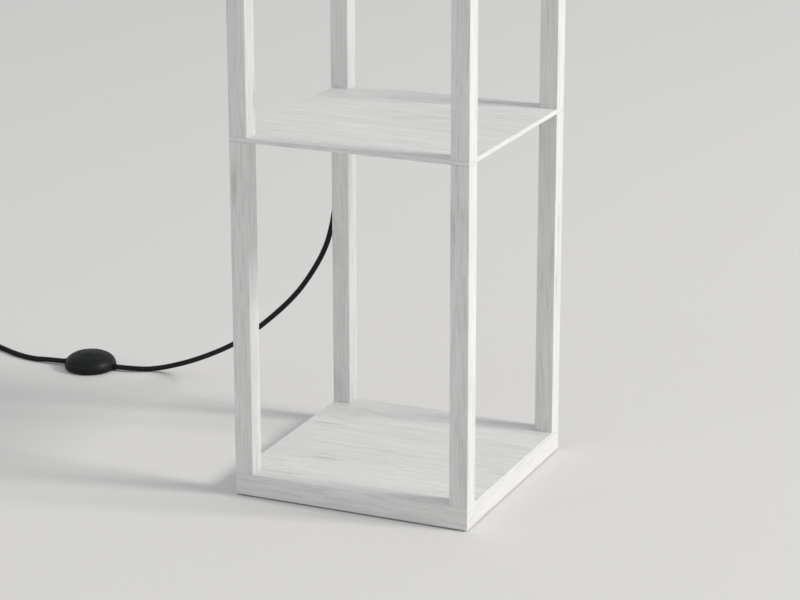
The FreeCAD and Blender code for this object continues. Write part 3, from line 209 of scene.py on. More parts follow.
GLAND_DEPTH = 0.003
GLAND_HEIGHT = 0.0048
GLAND_GRIP = 0.0001  # how far the bore is under the flex's radius
GLAND_COLLAR = 0.0006  # width of the plain collar at the switch's side
GLAND_GROOVE = 0.0004
GLAND_RIB = (0.0003, 0.0004, 0.0008)  # ends of groove, slope and rib
GLAND_GROOVES = (0.25, 0.62)  # where they start, as shares of what stands out
GLAND_HOLE = GLAND_RADIUS + 0.0001
GLAND_HOLE_DEPTH = 0.006

# ---------------------------------------------------------------- plug
PLUG_LINE = -0.046
PLUG_DRIFT = 0.0015
PLUG_HEIGHT = 0.01370 / 2
PLUG_SIDES = 48
PLUG_NOSE = (0.0155, 0.0061)  # half width and half thickness
PLUG_SHOULDER = (0.0175, 0.00685)
PLUG_NECK = (0.0066, 0.0054)
PLUG_LENGTH = 0.033
PLUG_TAIL = 0.024
PLUG_TAIL_ROOT = 0.0052
PLUG_TAIL_TIP = 0.0040
PLUG_TAIL_SINK = 0.003  # how far the tail starts inside the body
PLUG_RIBS = 6
PLUG_RIB_START = 0.0006
PLUG_RIB_END = 0.0012
PLUG_GROOVE = 0.0010
PLUG_RIB = (0.40, 0.45, 1.0)  # as the strain relief's
PLUG_RIB_EDGE = 0.0002
PIN_SPACING = 0.0186
PIN_RADIUS = 0.00185
PIN_REACH = 0.019
PIN_DEPTH = 0.008
PIN_TIP = 0.0016
PIN_SLEEVE = (0.0020, 0.0098)  # radius and reach

# ---------------------------------------------------------------- canopy, lampholder and bulb
CANOPY_SHEET = 0.0012
CANOPY_FLANGE = 0.038
CANOPY_FOOT = 0.0305
CANOPY_FOOT_BEND = 0.0012
CANOPY_FOOT_STEP = 0.0014  # from the side's foot to the middle of that bend
CANOPY_SHOULDER = 0.027
CANOPY_BEND = 0.004
LEAD_ROOM = 0.00045  # round the lead in the canopy's side
LEAD_HOLE_REACH = 0.05
CANOPY_SCREWS = 3
CANOPY_SCREW_CIRCLE = 0.034
CANOPY_SCREW_TURN = 195.0  # degrees, from the right to the first screw
SCREW_RADIUS = 0.0015
SCREW_HEAD = 0.0028
SCREW_HEAD_EDGE = 0.0008
SCREW_HEAD_BULGE = 0.0003
SCREW_SLOT = (0.00035, 0.0009)  # half width and depth
HOLDER_EDGE = 0.0004
HOLDER_WALL = 0.0019
HOLDER_HUB = 0.008
HOLDER_HUB_RISE = 0.0061
FLARE_DROP = 0.008
FLARE_BULGE = 0.0028
FLARE_BULGE_INSIDE = 0.0024
SPIGOT_ROOM = 0.00015
BODY_WALL = 0.0025
BODY_MOUTH = 0.0143
BODY_LIP = 0.001
SHOULDER_LOW = 0.0015  # from the joint of cap and body
SHOULDER_TOP = 0.0042
SHOULDER_WIDTH = 0.0035
THREAD_PITCH = 0.0022
THREAD_DEPTH = 0.0007
THREAD_START = 0.0012  # over the shoulder
THREAD_SPARE = 0.003  # at least so much height has no turns, at both ends together
MOUTH_EDGE = 0.0005
BULB_NECK = ((0.0136, 0.0), (0.0138, 0.003))  # (radius, height over its foot)
BULB_SHAPE = (  # (share of its height, radius)
    (0.12, 0.0152),
    (0.26, 0.0176),
    (0.42, 0.0200),
    (0.58, 0.0220),
    (0.74, 0.02385),
    (0.90, 0.0254),
)
BULB_RIM = 0.0016
GLOBE_WALL = 0.0012

# ---------------------------------------------------------------- shade
SHEET = 0.0006  # thickness of shade cloth and tape
SHADE_CORNER = 0.008
SEAM_PLACE = 0.088  # from the middle of the back to the seam
SEAM_OVERLAP = 0.010
SEAM_EASE = 0.004  # stretch over which the cloth's end rises on to its start
CLOTH_COLUMNS = 440
CLOTH_ROWS = 26
WAVE_DEPTH = 0.00012  # half of how far the cloth waves out from its backing
WAVE_ALONG = 37.0  # radians in a metre
WAVE_UP = 21.0
WAVE_SKEW = 9.0
WAVE_EASE = 0.05  # stretch at the edges over which the waves fade
HEM_HEIGHT = 0.009
HEM_ROWS = 26
HEM_BEND = 0.0011
HEM_TAIL = ((0.0002, 0.0006), (0.0012, 0.0022))  # (out from the wire, above the wrap round it)
HEM_TAIL_END = (0.0010, 0.001)  # (out from the wire, below the hem's upper edge)
RING_WIRE = 0.00125
RING_ROOM = 0.0001
ARM_WIRE = 0.00175
ARM_START = 0.0245
ARM_RUN = 0.006
SPIDER_BORE = 0.020
SPIDER_RIM = 0.027
SPIDER_SHEET = 0.0015


# ---------------------------------------------------------------- node helpers
def new_material(name):
    """Empty node material: its tree, its principled shader and its texture coordinates."""
    material = bpy.data.materials.new(name)
    material.use_nodes = True
    tree = material.node_tree
    shader = tree.nodes["Principled BSDF"]
    coords = tree.nodes.new("ShaderNodeTexCoord")
    return material, tree, shader, coords


def stretched(tree, source, scale, offset=(0.0, 0.0, 0.0)):
    """Coordinates scaled and moved, each axis by itself."""
    mapping = tree.nodes.new("ShaderNodeMapping")
    mapping.inputs["Scale"].default_value = scale
    mapping.inputs["Location"].default_value = offset
    tree.links.new(source, mapping.inputs["Vector"])
    return mapping.outputs["Vector"]


def noise(tree, source, scale, detail=3.0, rough=0.5, output="Fac"):
    """Cloudy pattern."""
    node = tree.nodes.new("ShaderNodeTexNoise")
    node.inputs["Scale"].default_value = scale
    node.inputs["Detail"].default_value = detail
    node.inputs["Roughness"].default_value = rough
    tree.links.new(source, node.inputs["Vector"])
    return node.outputs[output]


def spots(tree, source):
    """Distance to the nearest of some scattered points."""
    node = tree.nodes.new("ShaderNodeTexVoronoi")
    node.inputs["Scale"].default_value = 1.0
    tree.links.new(source, node.inputs["Vector"])
    return node.outputs["Distance"]


def ramp(tree, source, stops):
    """Colour ramp whose stops are (place, grey or colour)."""
    node = tree.nodes.new("ShaderNodeValToRGB")
    points = node.color_ramp.elements
    while len(points) < len(stops):
        points.new(0.5)
    for point, (place, color) in zip(points, stops):
        point.position = place
        point.color = (*color, 1.0) if isinstance(color, tuple) else (color, color, color, 1.0)
    tree.links.new(source, node.inputs["Fac"])
    return node.outputs["Color"]


def math_node(tree, kind, *values):
    """One step of arithmetic on numbers or sockets."""
    node = tree.nodes.new("ShaderNodeMath")
    node.operation = kind
    for socket, value in zip(node.inputs, values):
        if isinstance(value, (int, float)):
            socket.default_value = value
        else:
            tree.links.new(value, socket)
    return node.outputs["Value"]


def vector_math(tree, kind, *values):
    """One step of arithmetic on vectors, each given as numbers or as a socket."""
    node = tree.nodes.new("ShaderNodeVectorMath")
    node.operation = kind
    for socket, value in zip(node.inputs, values):
        if isinstance(value, tuple):
            socket.default_value = value
        else:
            tree.links.new(value, socket)
    return node.outputs["Vector"]


def mix_colors(tree, share, first, second):
    """The first colour darkened by the second, by a share of it."""
    node = tree.nodes.new("ShaderNodeMix")
    node.data_type = "RGBA"
    node.blend_type = "MULTIPLY"
    node.inputs["Factor"].default_value = share
    for name, value in (("A", first), ("B", second)):
        socket = next(s for s in node.inputs if s.name == name and s.type == "RGBA")
        if isinstance(value, tuple):
            socket.default_value = (*value, 1.0)
        else:
            tree.links.new(value, socket)
    return next(s for s in node.outputs if s.type == "RGBA")


def mix_values(tree, share, first, second):
    """A number between two others, by a share that comes from a socket."""
    node = tree.nodes.new("ShaderNodeMix")
    node.data_type = "FLOAT"
    for socket, value in zip((node.inputs[0], node.inputs[2], node.inputs[3]), (share, first, second)):
        tree.links.new(value, socket)
    return node.outputs[0]


def bump(tree, shader, height, distance, strength=1.0):
    """Fine relief on the shader's surface."""
    node = tree.nodes.new("ShaderNodeBump")
    node.inputs["Distance"].default_value = distance
    node.inputs["Strength"].default_value = strength
    tree.links.new(height, node.inputs["Height"])
    tree.links.new(node.outputs["Normal"], shader.inputs["Normal"])


# ---------------------------------------------------------------- materials
def along_scale(along, with_grain, across):
    """Scales of the three axes for a pattern that runs along X or along Z."""
    return (with_grain, across, across) if along == "x" else (across, across, with_grain)


def turned_on_ends(tree, coords, place):
    """The same place with X and Y exchanged wherever the surface faces along X."""
    facing, parts = (tree.nodes.new("ShaderNodeSeparateXYZ") for _ in range(2))
    tree.links.new(coords.outputs["Normal"], facing.inputs["Vector"])
    tree.links.new(place, parts.inputs["Vector"])
    turned_place = tree.nodes.new("ShaderNodeCombineXYZ")
    for source, target in (("Y", "X"), ("X", "Y"), ("Z", "Z")):
        tree.links.new(parts.outputs[source], turned_place.inputs[target])
    on_end = math_node(tree, "GREATER_THAN", math_node(tree, "ABSOLUTE", facing.outputs["X"]), 0.8)
    pick = tree.nodes.new("ShaderNodeMix")
    pick.data_type = "VECTOR"
    tree.links.new(on_end, pick.inputs["Factor"])
    for name, value in (("A", place), ("B", turned_place.outputs["Vector"])):
        tree.links.new(value, next(s for s in pick.inputs if s.name == name and s.type == "VECTOR"))
    return next(s for s in pick.outputs if s.type == "VECTOR")


def washed_wood(name, along, offset, tint):
    """White-washed wood: thin white rubbed over a fine grain that runs along one axis, with rare small
    knots. The end faces of a board are edged with the same veneer, so there the grain runs along the edge."""
    material, tree, shader, coords = new_material(name)
    place = stretched(tree, coords.outputs["Object"], (1.0, 1.0, 1.0), offset)
    if along == "x":
        place = turned_on_ends(tree, coords, place)
    sway = noise(tree, stretched(tree, place, along_scale(along, *GRAIN_SWAY)), 1.0, 2.0, 0.5, "Color")
    sway = vector_math(tree, "SUBTRACT", sway, (0.5, 0.5, 0.5))
    warped = vector_math(tree, "MULTIPLY_ADD", sway, along_scale(along, 0.0, SWAY_REACH), place)
    bands = noise(tree, stretched(tree, warped, along_scale(along, *GRAIN_BANDS)), 1.0, 6.0, 0.64)
    streaks = noise(tree, stretched(tree, warped, along_scale(along, *GRAIN_STREAKS)), 1.0, 5.0, 0.68)
    pores = noise(tree, stretched(tree, warped, along_scale(along, *GRAIN_PORES)), 1.0, 3.0, 0.6)
    clouds = noise(tree, place, 6.0, 3.0, 0.5)
    knots = spots(tree, stretched(tree, warped, along_scale(along, *GRAIN_KNOTS)))
    wash = ramp(tree, bands, ((0.30, (0.885, 0.887, 0.887)), (0.47, (0.955, 0.955, 0.953)), (0.66, 1.0)))
    lines = ramp(tree, streaks, ((0.34, (0.815, 0.817, 0.815)), (0.50, 0.955), (0.64, 1.0)))
    dots = ramp(tree, pores, ((0.30, (0.860, 0.857, 0.845)), (0.42, 1.0)))
    patch = ramp(tree, clouds, ((0.36, 0.965), (0.62, 1.0)))
    marks = ramp(tree, knots, ((0.05, (0.780, 0.775, 0.765)), (0.12, (0.920, 0.918, 0.912)), (0.24, 1.0)))
    color = tint
    for share, layer in ((1.0, wash), (1.0, lines), (0.7, dots), (1.0, patch), (1.0, marks)):
        color = mix_colors(tree, share, color, layer)
    tree.links.new(color, shader.inputs["Base Color"])
    tree.links.new(ramp(tree, streaks, ((0.3, 0.60), (0.65, 0.47))), shader.inputs["Roughness"])
    fine = math_node(tree, "MULTIPLY", pores, 0.3)
    bump(tree, shader, math_node(tree, "MULTIPLY_ADD", streaks, 0.7, fine), 0.00018, 0.9)
    return material


def moulded(name, color, rough, grain, depth, shade=0.90, gloss=0.5):
    """Moulded plastic or rubber: an even colour, slightly clouded, with a fine mould texture."""
    material, tree, shader, coords = new_material(name)
    place = coords.outputs["Object"]
    clouds = ramp(tree, noise(tree, place, 60.0, 3.0), ((0.32, shade), (0.66, 1.0)))
    tree.links.new(mix_colors(tree, 1.0, color, clouds), shader.inputs["Base Color"])
    worn = noise(tree, place, 35.0, 4.0, 0.6)
    tree.links.new(ramp(tree, worn, ((0.3, rough - 0.06), (0.7, rough + 0.06))), shader.inputs["Roughness"])
    shader.inputs["Specular IOR Level"].default_value = gloss
    bump(tree, shader, noise(tree, place, grain, 3.0, 0.6), depth)
    return material


def plated(name, color, rough):
    """Plated or drawn metal with faint drawing marks and duller patches."""
    material, tree, shader, coords = new_material(name)
    place = coords.outputs["Object"]
    clouds = ramp(tree, noise(tree, place, 140.0, 4.0, 0.6), ((0.32, 0.80), (0.66, 1.0)))
    tree.links.new(mix_colors(tree, 1.0, color, clouds), shader.inputs["Base Color"])
    shader.inputs["Metallic"].default_value = 1.0
    marks = noise(tree, stretched(tree, place, (400.0, 400.0, 5000.0)), 1.0, 3.0, 0.6)
    tree.links.new(ramp(tree, marks, ((0.3, rough - 0.08), (0.7, rough + 0.08))), shader.inputs["Roughness"])
    bump(tree, shader, marks, 0.00003)
    return material


def powder_coat():
    """White powder coat with its fine orange-peel skin."""
    material, tree, shader, coords = new_material("white_powder_coat")
    place = coords.outputs["Object"]
    clouds = ramp(tree, noise(tree, place, 30.0, 3.0), ((0.3, 0.96), (0.7, 1.0)))
    tree.links.new(mix_colors(tree, 1.0, COATED_WHITE, clouds), shader.inputs["Base Color"])
    shader.inputs["Roughness"].default_value = 0.38
    bump(tree, shader, noise(tree, place, 1400.0, 2.0, 0.5), 0.00004)
    return material


def felt():
    """Thin dark felt: short fibres with a dull sheen."""
    material, tree, shader, coords = new_material("dark_felt")
    fibres = noise(tree, coords.outputs["Object"], 1800.0, 5.0, 0.7)
    color = ramp(tree, fibres, ((0.3, FELT_DARK), (0.7, FELT_LIGHT)))
    tree.links.new(color, shader.inputs["Base Color"])
    shader.inputs["Roughness"].default_value = 0.95
    shader.inputs["Sheen Weight"].default_value = 0.35
    bump(tree, shader, fibres, 0.0003)
    return material


def opal():
    """Frosted opal diffuser: milky, softly glossy, a little light carried inside it."""
    material, tree, shader, coords = new_material("opal_diffuser")
    place = coords.outputs["Object"]
    clouds = ramp(tree, noise(tree, place, 25.0, 2.0), ((0.3, 0.965), (0.7, 1.0)))
    tree.links.new(mix_colors(tree, 1.0, OPAL_WHITE, clouds), shader.inputs["Base Color"])
    shader.inputs["Roughness"].default_value = 0.30
    shader.inputs["Subsurface Weight"].default_value = 0.35
    shader.inputs["Subsurface Radius"].default_value = (0.006, 0.005, 0.004)
    shader.inputs["Subsurface Scale"].default_value = 1.0
    bump(tree, shader, noise(tree, place, 2200.0, 2.0), 0.00002)
    return material


def black_flex():
    """Round flex sheath: satin black, faintly worn."""
    material, tree, shader, coords = new_material("black_flex")
    place = coords.outputs["Object"]
    wear = noise(tree, place, 90.0, 3.0)
    tree.links.new(ramp(tree, wear, ((0.3, FLEX_BLACK), (0.7, FLEX_WORN))), shader.inputs["Base Color"])
    tree.links.new(ramp(tree, wear, ((0.3, 0.50), (0.7, 0.60))), shader.inputs["Roughness"])
    shader.inputs["Specular IOR Level"].default_value = 0.2
    bump(tree, shader, noise(tree, place, 900.0, 2.0), 0.00008)
    return material


def linen(name, width, height):
    """Plain weave on the cloth's own map: warp and weft threads with painted shade in the gaps between them,
    their crossings and thicker slubs.
    """
    material, tree, shader, coords = new_material(name)
    flat = stretched(tree, coords.outputs["UV"], (width, height, 1.0))
    pull = vector_math(tree, "SUBTRACT", noise(tree, flat, 45.0, 2.0, 0.5, "Color"), (0.5, 0.5, 0.5))
    laid = vector_math(tree, "MULTIPLY_ADD", pull, (THREAD_PULL, THREAD_PULL, 0.0), flat)
    split = tree.nodes.new("ShaderNodeSeparateXYZ")
    tree.links.new(laid, split.inputs["Vector"])
    turns = [
        math_node(tree, "MULTIPLY", split.outputs[axis], math.pi / pitch)
        for axis, pitch in (("X", WARP_PITCH), ("Y", WEFT_PITCH))
    ]
    warp, weft = (math_node(tree, "ABSOLUTE", math_node(tree, "SINE", turn)) for turn in turns)
    crossing = math_node(tree, "MULTIPLY", *(math_node(tree, "COSINE", turn) for turn in turns))
    over = math_node(tree, "MULTIPLY_ADD", crossing, 0.35, 0.5)
    thread = mix_values(tree, over, warp, weft)
    slub_up = noise(tree, stretched(tree, laid, (SLUB_ACROSS, SLUB_ALONG, 1.0)), 1.0, 3.0, 0.6)
    slub_across = noise(tree, stretched(tree, laid, (SLUB_ALONG, SLUB_ACROSS, 1.0)), 1.0, 3.0, 0.6)
    slubs = math_node(tree, "MAXIMUM", slub_up, slub_across)
    # painted shade: the cloth's colour is darkened in the gaps between threads, where shade falls
    gap_shade = ramp(tree, thread, ((0.05, (0.80, 0.785, 0.75)), (0.45, 1.0)))
    tone = ramp(tree, slubs, ((0.50, 1.0), (0.70, (0.915, 0.900, 0.870))))
    clouds = ramp(tree, noise(tree, flat, 9.0, 3.0), ((0.34, 0.965), (0.64, 1.0)))
    dyed_with_gap_shade = LINEN_COLOR
    for layer in (gap_shade, tone, clouds):
        dyed_with_gap_shade = mix_colors(tree, 1.0, dyed_with_gap_shade, layer)
    tree.links.new(dyed_with_gap_shade, shader.inputs["Base Color"])
    shader.inputs["Roughness"].default_value = 0.88
    shader.inputs["Sheen Weight"].default_value = 0.15
    relief = math_node(tree, "MULTIPLY_ADD", slubs, 1.2, thread)
    bump(tree, shader, relief, 0.00025, 0.8)
    return material


def shade_linen(width, height):
    """Linen for a piece of cloth or tape that was cut to that size."""
    return linen("shade_linen_%d" % round(height * 1000), width, height)


def shade_backing():
    """Smooth white backing sheet behind the cloth, slightly clouded."""
    material, tree, shader, coords = new_material("shade_backing")
    place = coords.outputs["Object"]
    clouds = ramp(tree, noise(tree, place, 12.0, 3.0), ((0.35, 0.965), (0.65, 1.0)))
    tree.links.new(mix_colors(tree, 1.0, BACKING_WHITE, clouds), shader.inputs["Base Color"])
    shader.inputs["Roughness"].default_value = 0.42
    bump(tree, shader, noise(tree, place, 500.0, 3.0, 0.6), 0.00005)
    return material


# ---------------------------------------------------------------- modelling helpers
def deselect():
    """Leave edit mode and select nothing."""
    if bpy.context.object and bpy.context.object.mode != "OBJECT":
        bpy.ops.object.mode_set(mode="OBJECT")
    bpy.ops.object.select_all(action="DESELECT")


def only(piece):
    """Make a piece the one selected and active object."""
    deselect()
    piece.select_set(True)
    bpy.context.view_layer.objects.active = piece


def edit(piece):
    """Go into edit mode on one piece."""
    only(piece)
    bpy.ops.object.mode_set(mode="EDIT")


def keep_place():
    """Put an object's place, turn and size into its mesh."""
    bpy.ops.object.transform_apply(location=True, rotation=True, scale=True)


def tidy_skin(merge=True):
    """In edit mode: merge doubles unless told not to, turn all faces outwards, and leave edit mode."""
    bpy.ops.mesh.select_all(action="SELECT")
    if merge:
        bpy.ops.mesh.remove_doubles(threshold=MERGE)
    bpy.ops.mesh.normals_make_consistent(inside=False)
    bpy.ops.object.mode_set(mode="OBJECT")


def close_to_point(rise):
    """Extrude the selected ring and draw it together to one point in its middle."""
    bpy.ops.mesh.extrude_region_move(TRANSFORM_OT_translate={"value": (0, 0, rise)})
    bpy.ops.mesh.merge(type="CENTER")


def turned(name, outline, sides=SIDES, middle=MIDDLE, closed=False):
    """Turned piece about an upright line: each ring of the outline is extruded from the ring before it
    and brought to its radius. An outline that starts or ends on the line closes to a point there; a
    closed outline comes back to its first ring."""
    rings = [ring for ring in outline if ring[0] > 0]
    if closed:
        rings.append(rings[0])
    radius, height = first_radius, first_height = rings[0]
    deselect()
    bpy.ops.mesh.primitive_circle_add(vertices=sides, radius=first_radius, location=(0, 0, first_height))
    keep_place()
    piece = bpy.context.object
    piece.name = piece.data.name = name
    bpy.ops.object.mode_set(mode="EDIT")
    bpy.ops.mesh.select_all(action="SELECT")
    for next_radius, next_height in rings[1:]:
        bpy.ops.mesh.extrude_region_move(TRANSFORM_OT_translate={"value": (0, 0, next_height - height)})
        share = next_radius / radius
        bpy.ops.transform.resize(value=(share, share, 1), center_override=(0, 0, next_height))
        radius, height = next_radius, next_height
    if outline[-1][0] == 0:
        close_to_point(outline[-1][1] - height)
    if outline[0][0] == 0:
        bpy.ops.mesh.select_all(action="DESELECT")
        shape = bmesh.from_edit_mesh(piece.data)
        shape.verts.ensure_lookup_table()
        for i in range(sides):
            shape.verts[i].select_set(True)
        shape.select_flush(True)
        close_to_point(outline[0][1] - first_height)
    tidy_skin()
    piece.location = middle
    keep_place()
    return piece


def arc(middle, radius, start, end, steps):
    """Points of an outline on an arc, from one angle to another in degrees."""
    angles = [math.radians(start + (end - start) * i / steps) for i in range(steps + 1)]
    return [(middle[0] + radius * math.cos(a), middle[1] + radius * math.sin(a)) for a in angles]


def bow(start, end, bulge, steps):
    """Points of an outline on a shallow curve between two points, bulging to its right."""
    a, b = Vector(start), Vector(end)
    side = Vector((b.y - a.y, a.x - b.x)).normalized()
    points = []
    for i in range(1, steps + 1):
        t = i / steps
        points.append(tuple(a.lerp(b, t) + side * (4 * bulge * t * (1 - t))))
    return points


def rib(radius, groove, low, marks, crest=0.0):
    """Outline of a groove and the rib above it. The marks, over the groove's start, are where the groove
    ends, where the rib starts and where it ends."""
    groove_end, rib_start, rib_end = marks
    return [
        (radius - groove, low),
        (radius - groove, low + groove_end),
        (radius + crest, low + rib_start),
        (radius, low + rib_end),
    ]


def ribbed_taper(root, tip, reach, start, end, count, groove, marks, crest=0.0):
    """Outline of equal ribs on a sleeve that tapers from its root's radius to its tip's and closes there.
    Start and end are the plain stretches before and after the ribs; the marks are shares of a span."""
    span = (reach - start - end) / count
    outline = []
    for i in range(count):
        low = start + span * i
        radius = root + (tip - root) * (low + span) / reach
        outline += rib(radius, groove, low, [span * mark for mark in marks], crest)
    return outline + [(tip - SLEEVE_STEP, reach), (0, reach)]


def lay_along(piece, start, way):
    """Turn a piece made about the upright line so that it runs from start along a direction."""
    only(piece)
    piece.rotation_mode = "QUATERNION"
    piece.rotation_quaternion = way.to_track_quat("Z", "Y")
    piece.location = start
    keep_place()
    return piece


def apply_all(piece):
    """Apply a piece's modifiers."""
    only(piece)
    for modifier in list(piece.modifiers):
        bpy.ops.object.modifier_apply(modifier=modifier.name)


def soften(piece, width):
    """Round every sharp edge a little."""
    modifier = piece.modifiers.new("soften", "BEVEL")
    modifier.width = width
    modifier.segments = 2
    modifier.limit_method = "ANGLE"
    modifier.angle_limit = math.radians(30)
    apply_all(piece)
    return piece


def boolean(piece, other, kind="DIFFERENCE"):
    """Cut another piece out of this one, or join it on; the other is gone after that."""
    modifier = piece.modifiers.new("cut", "BOOLEAN")
    modifier.operation = kind
    modifier.solver = "EXACT"
    modifier.object = other
    apply_all(piece)
    bpy.data.objects.remove(other, do_unlink=True)
    return piece


def join(name, pieces):
    """One object of several pieces."""
    only(pieces[0])
    for piece in pieces[1:]:
        piece.select_set(True)
    bpy.ops.object.join()
    piece = bpy.context.object
    piece.name = piece.data.name = name
    return piece


def copies(name, piece, places):
    """One object of several like pieces, each moved from the first one's place."""
    made = []
    for place in places:
        copy = piece.copy()
        copy.data = piece.data.copy()
        bpy.context.scene.collection.objects.link(copy)
        only(copy)
        copy.location = place
        keep_place()
        made.append(copy)
    bpy.data.objects.remove(piece, do_unlink=True)
    return join(name, made)


def paint(piece, material):
    """Give a piece one material."""
    piece.data.materials.clear()
    piece.data.materials.append(material)


def finish(piece, material, replaced, body="root"):
    """Smooth, paint and hand over a finished piece."""
    only(piece)
    bpy.ops.object.shade_smooth_by_angle(angle=SMOOTH_ANGLE)
    paint(piece, material)
    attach(piece, body)
    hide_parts(*replaced)
    deselect()
    return piece


def spline_tube(name, points, radius, section, steps, cyclic=False):
    """Round tube along a smooth spline whose control points are the points given. The section's number
    says how fine the tube is round, and the steps how fine it is along."""
    data = bpy.data.curves.new(name, "CURVE")
    data.dimensions = "3D"
    data.bevel_depth = radius
    data.bevel_resolution = section
    data.use_fill_caps = not cyclic
    data.resolution_u = steps
    spline = data.splines.new("NURBS")
    spline.points.add(len(points) - 1)
    for point, place in zip(spline.points, points):
        point.co = (*place, 1.0)
    spline.use_cyclic_u = cyclic
    spline.order_u = 3
    spline.use_endpoint_u = not cyclic
    curve = bpy.data.objects.new(name, data)
    bpy.context.scene.collection.objects.link(curve)
    return curve


def wire(name, points, radius, section, cyclic=False):
    """Round wire along points, made a mesh."""
    only(spline_tube(name, points, radius, section, steps=6, cyclic=cyclic))
    bpy.ops.object.convert(target="MESH")
    piece = bpy.context.object
    edit(piece)
    tidy_skin()
    return piece


def block(low, high):
    """Plain box that cuts another piece."""
    deselect()
    low, high = Vector(low), Vector(high)
    bpy.ops.mesh.primitive_cube_add(size=1.0, location=(low + high) / 2)
    box = bpy.context.object
    box.scale = high - low
    keep_place()
    return box


def rod(radius, start, way, length):
    """Plain round rod that cuts another piece."""
    deselect()
    bpy.ops.mesh.primitive_cylinder_add(vertices=THIN_SIDES, radius=radius, depth=length)
    piece = bpy.context.object
    piece.location = (0, 0, length / 2)
    keep_place()
    return lay_along(piece, start, way)


def select_edges(piece, test):
    """Go into edit mode with only the edges selected whose two ends pass the test."""
    edit(piece)
    bpy.ops.mesh.select_all(action="DESELECT")
    bpy.ops.mesh.select_mode(type="EDGE")
    shape = bmesh.from_edit_mesh(piece.data)
    for edge in shape.edges:
        edge.select_set(bool(test(edge.verts[0].co, edge.verts[1].co)))
    bmesh.update_edit_mesh(piece.data)


def select_points(piece, test):
    """Go into edit mode with only the points selected that pass the test."""
    edit(piece)
    bpy.ops.mesh.select_all(action="DESELECT")
    bpy.ops.mesh.select_mode(type="VERT")
    shape = bmesh.from_edit_mesh(piece.data)
    for point in shape.verts:
        point.select_set(bool(test(point.co)))
    shape.select_flush(True)
    bmesh.update_edit_mesh(piece.data)


# ---------------------------------------------------------------- wooden frame
def finish_wood():
    """Boards run with their grain from side to side, posts with theirs upright."""
    for i, name in enumerate(("base_board", "shelf_lower", "shelf_middle", "lamp_deck")):
        offset = (0.31 * i + 0.1, 0.17 * i + 0.05, 0.13 * i)
        paint(nodes[name], washed_wood("wood_" + name, "x", offset, WOOD_TINTS[i]))
    posts = sorted(n for n in nodes if n.startswith("post_") and n != "post_inserts")
    for i, name in enumerate(posts):
        offset = (0.23 * i + 0.4, 0.31 * i, 0.19 * i)
        tint = WOOD_TINTS[(i * 3) % len(WOOD_TINTS)]
        paint(nodes[name], washed_wood("wood_" + name, "z", offset, tint))


# ---------------------------------------------------------------- free flex
exit_way = Vector((0, math.sin(EXIT_SLANT), -math.cos(EXIT_SLANT)))
wired_low, wired_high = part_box("post_lower_back_left")
exit_mouth = Vector(((wired_low.x + wired_high.x) / 2, wired_high.y, wired_high.z - EXIT_DROP))
relief_tip = exit_mouth + exit_way * RELIEF_REACH
exit_knee = exit_mouth - exit_way * ((wired_high.y - wired_low.y) / 2 / math.sin(EXIT_SLANT))


def on_cord_line(reach):
    """Point on the flex's line through the foot switch, that far from its middle."""
    return SWITCH_PLACE + SWITCH_WAY * reach + UP * GLAND_HEIGHT


def gland_face(side):
    """Where the flex comes out of the gland on one side of the switch."""
    return on_cord_line(side * (SWITCH_RADIUS + GLAND_REACH))


def coil_place(turn, ring=1.0):
    """Middle of the flex that many turns into the coil: in along the floor, up, and out again on top."""
    climb_end = COIL_LAYER_TURNS + 0.5
    inner = COIL_OUTER - COIL_STEP * COIL_LAYER_TURNS
    if turn <= COIL_LAYER_TURNS:
        radius = COIL_OUTER - COIL_STEP * turn
        height = CORD / 2
    elif turn < climb_end:
        climb = turn - COIL_LAYER_TURNS
        radius = inner - COIL_STEP * climb + 2 * COIL_STEP * climb * climb
        share = 2 * climb
        height = CORD / 2 + COIL_STEP * share * share * (3 - 2 * share)
    else:
        radius = inner + COIL_STEP * (turn - climb_end)
        height = CORD / 2 + COIL_STEP
    angle = math.radians(90) + 2 * math.pi * turn
    radius *= ring
    return COIL_MIDDLE + Vector((radius * math.cos(angle), radius * math.sin(angle), height))


def way_at(turn):
    """Direction of the flex that many turns into the coil."""
    return (coil_place(turn + 1e-4) - coil_place(turn - 1e-4)).normalized()


def coil_end():
    """A flex's thickness past the last turn of the coil."""
    return coil_place(COIL_TURNS) + way_at(COIL_TURNS) * CORD


def plug_start():
    """Where the flex goes into the plug's tail."""
    return Vector((coil_end().x - PLUG_DRIFT, COIL_MIDDLE.y + PLUG_LINE, PLUG_HEIGHT))


def flex_curve(name, points, material):
    """Free flex along its route's points."""
    curve = spline_tube(name, points, CORD / 2, section=6, steps=12)
    curve.data.materials.append(material)
    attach(curve, "root")
    return curve


def flex_to_switch(material):
    """From the strain relief down in a long bow to the foot switch."""
    last = gland_face(1)
    points = [relief_tip, relief_tip + exit_way * FLEX_FIRST_RUN]
    points += [Vector(p) for p in FLEX_TO_SWITCH]
    points += [last + SWITCH_WAY * SWITCH_RUN, last]
    return flex_curve("flex_to_foot_switch", points, material)


def flex_to_plug(material):
    """From the foot switch along the floor, round the coil and on to the plug."""
    first = gland_face(-1)
    end, end_way = coil_end(), way_at(COIL_TURNS)
    points = [first, first - SWITCH_WAY * SWITCH_RUN]
    points += [Vector(p) for p in FLEX_TO_COIL]
    points += [coil_place(0) - way_at(0) * (CORD + COIL_RUN)]
    widen = 1 / math.cos(math.pi / COIL_POINTS)  # the spline runs a little inside its points
    count = round(COIL_TURNS * COIL_POINTS)
    points += [coil_place(COIL_TURNS * i / count, widen) for i in range(count + 1)]
    tail = plug_start()
    third = Vector((0, (end.y - tail.y) / 3, 0))
    points += [end, end + end_way * third.y, tail + third, tail]
    return flex_curve("flex_to_plug_coiled", points, material)


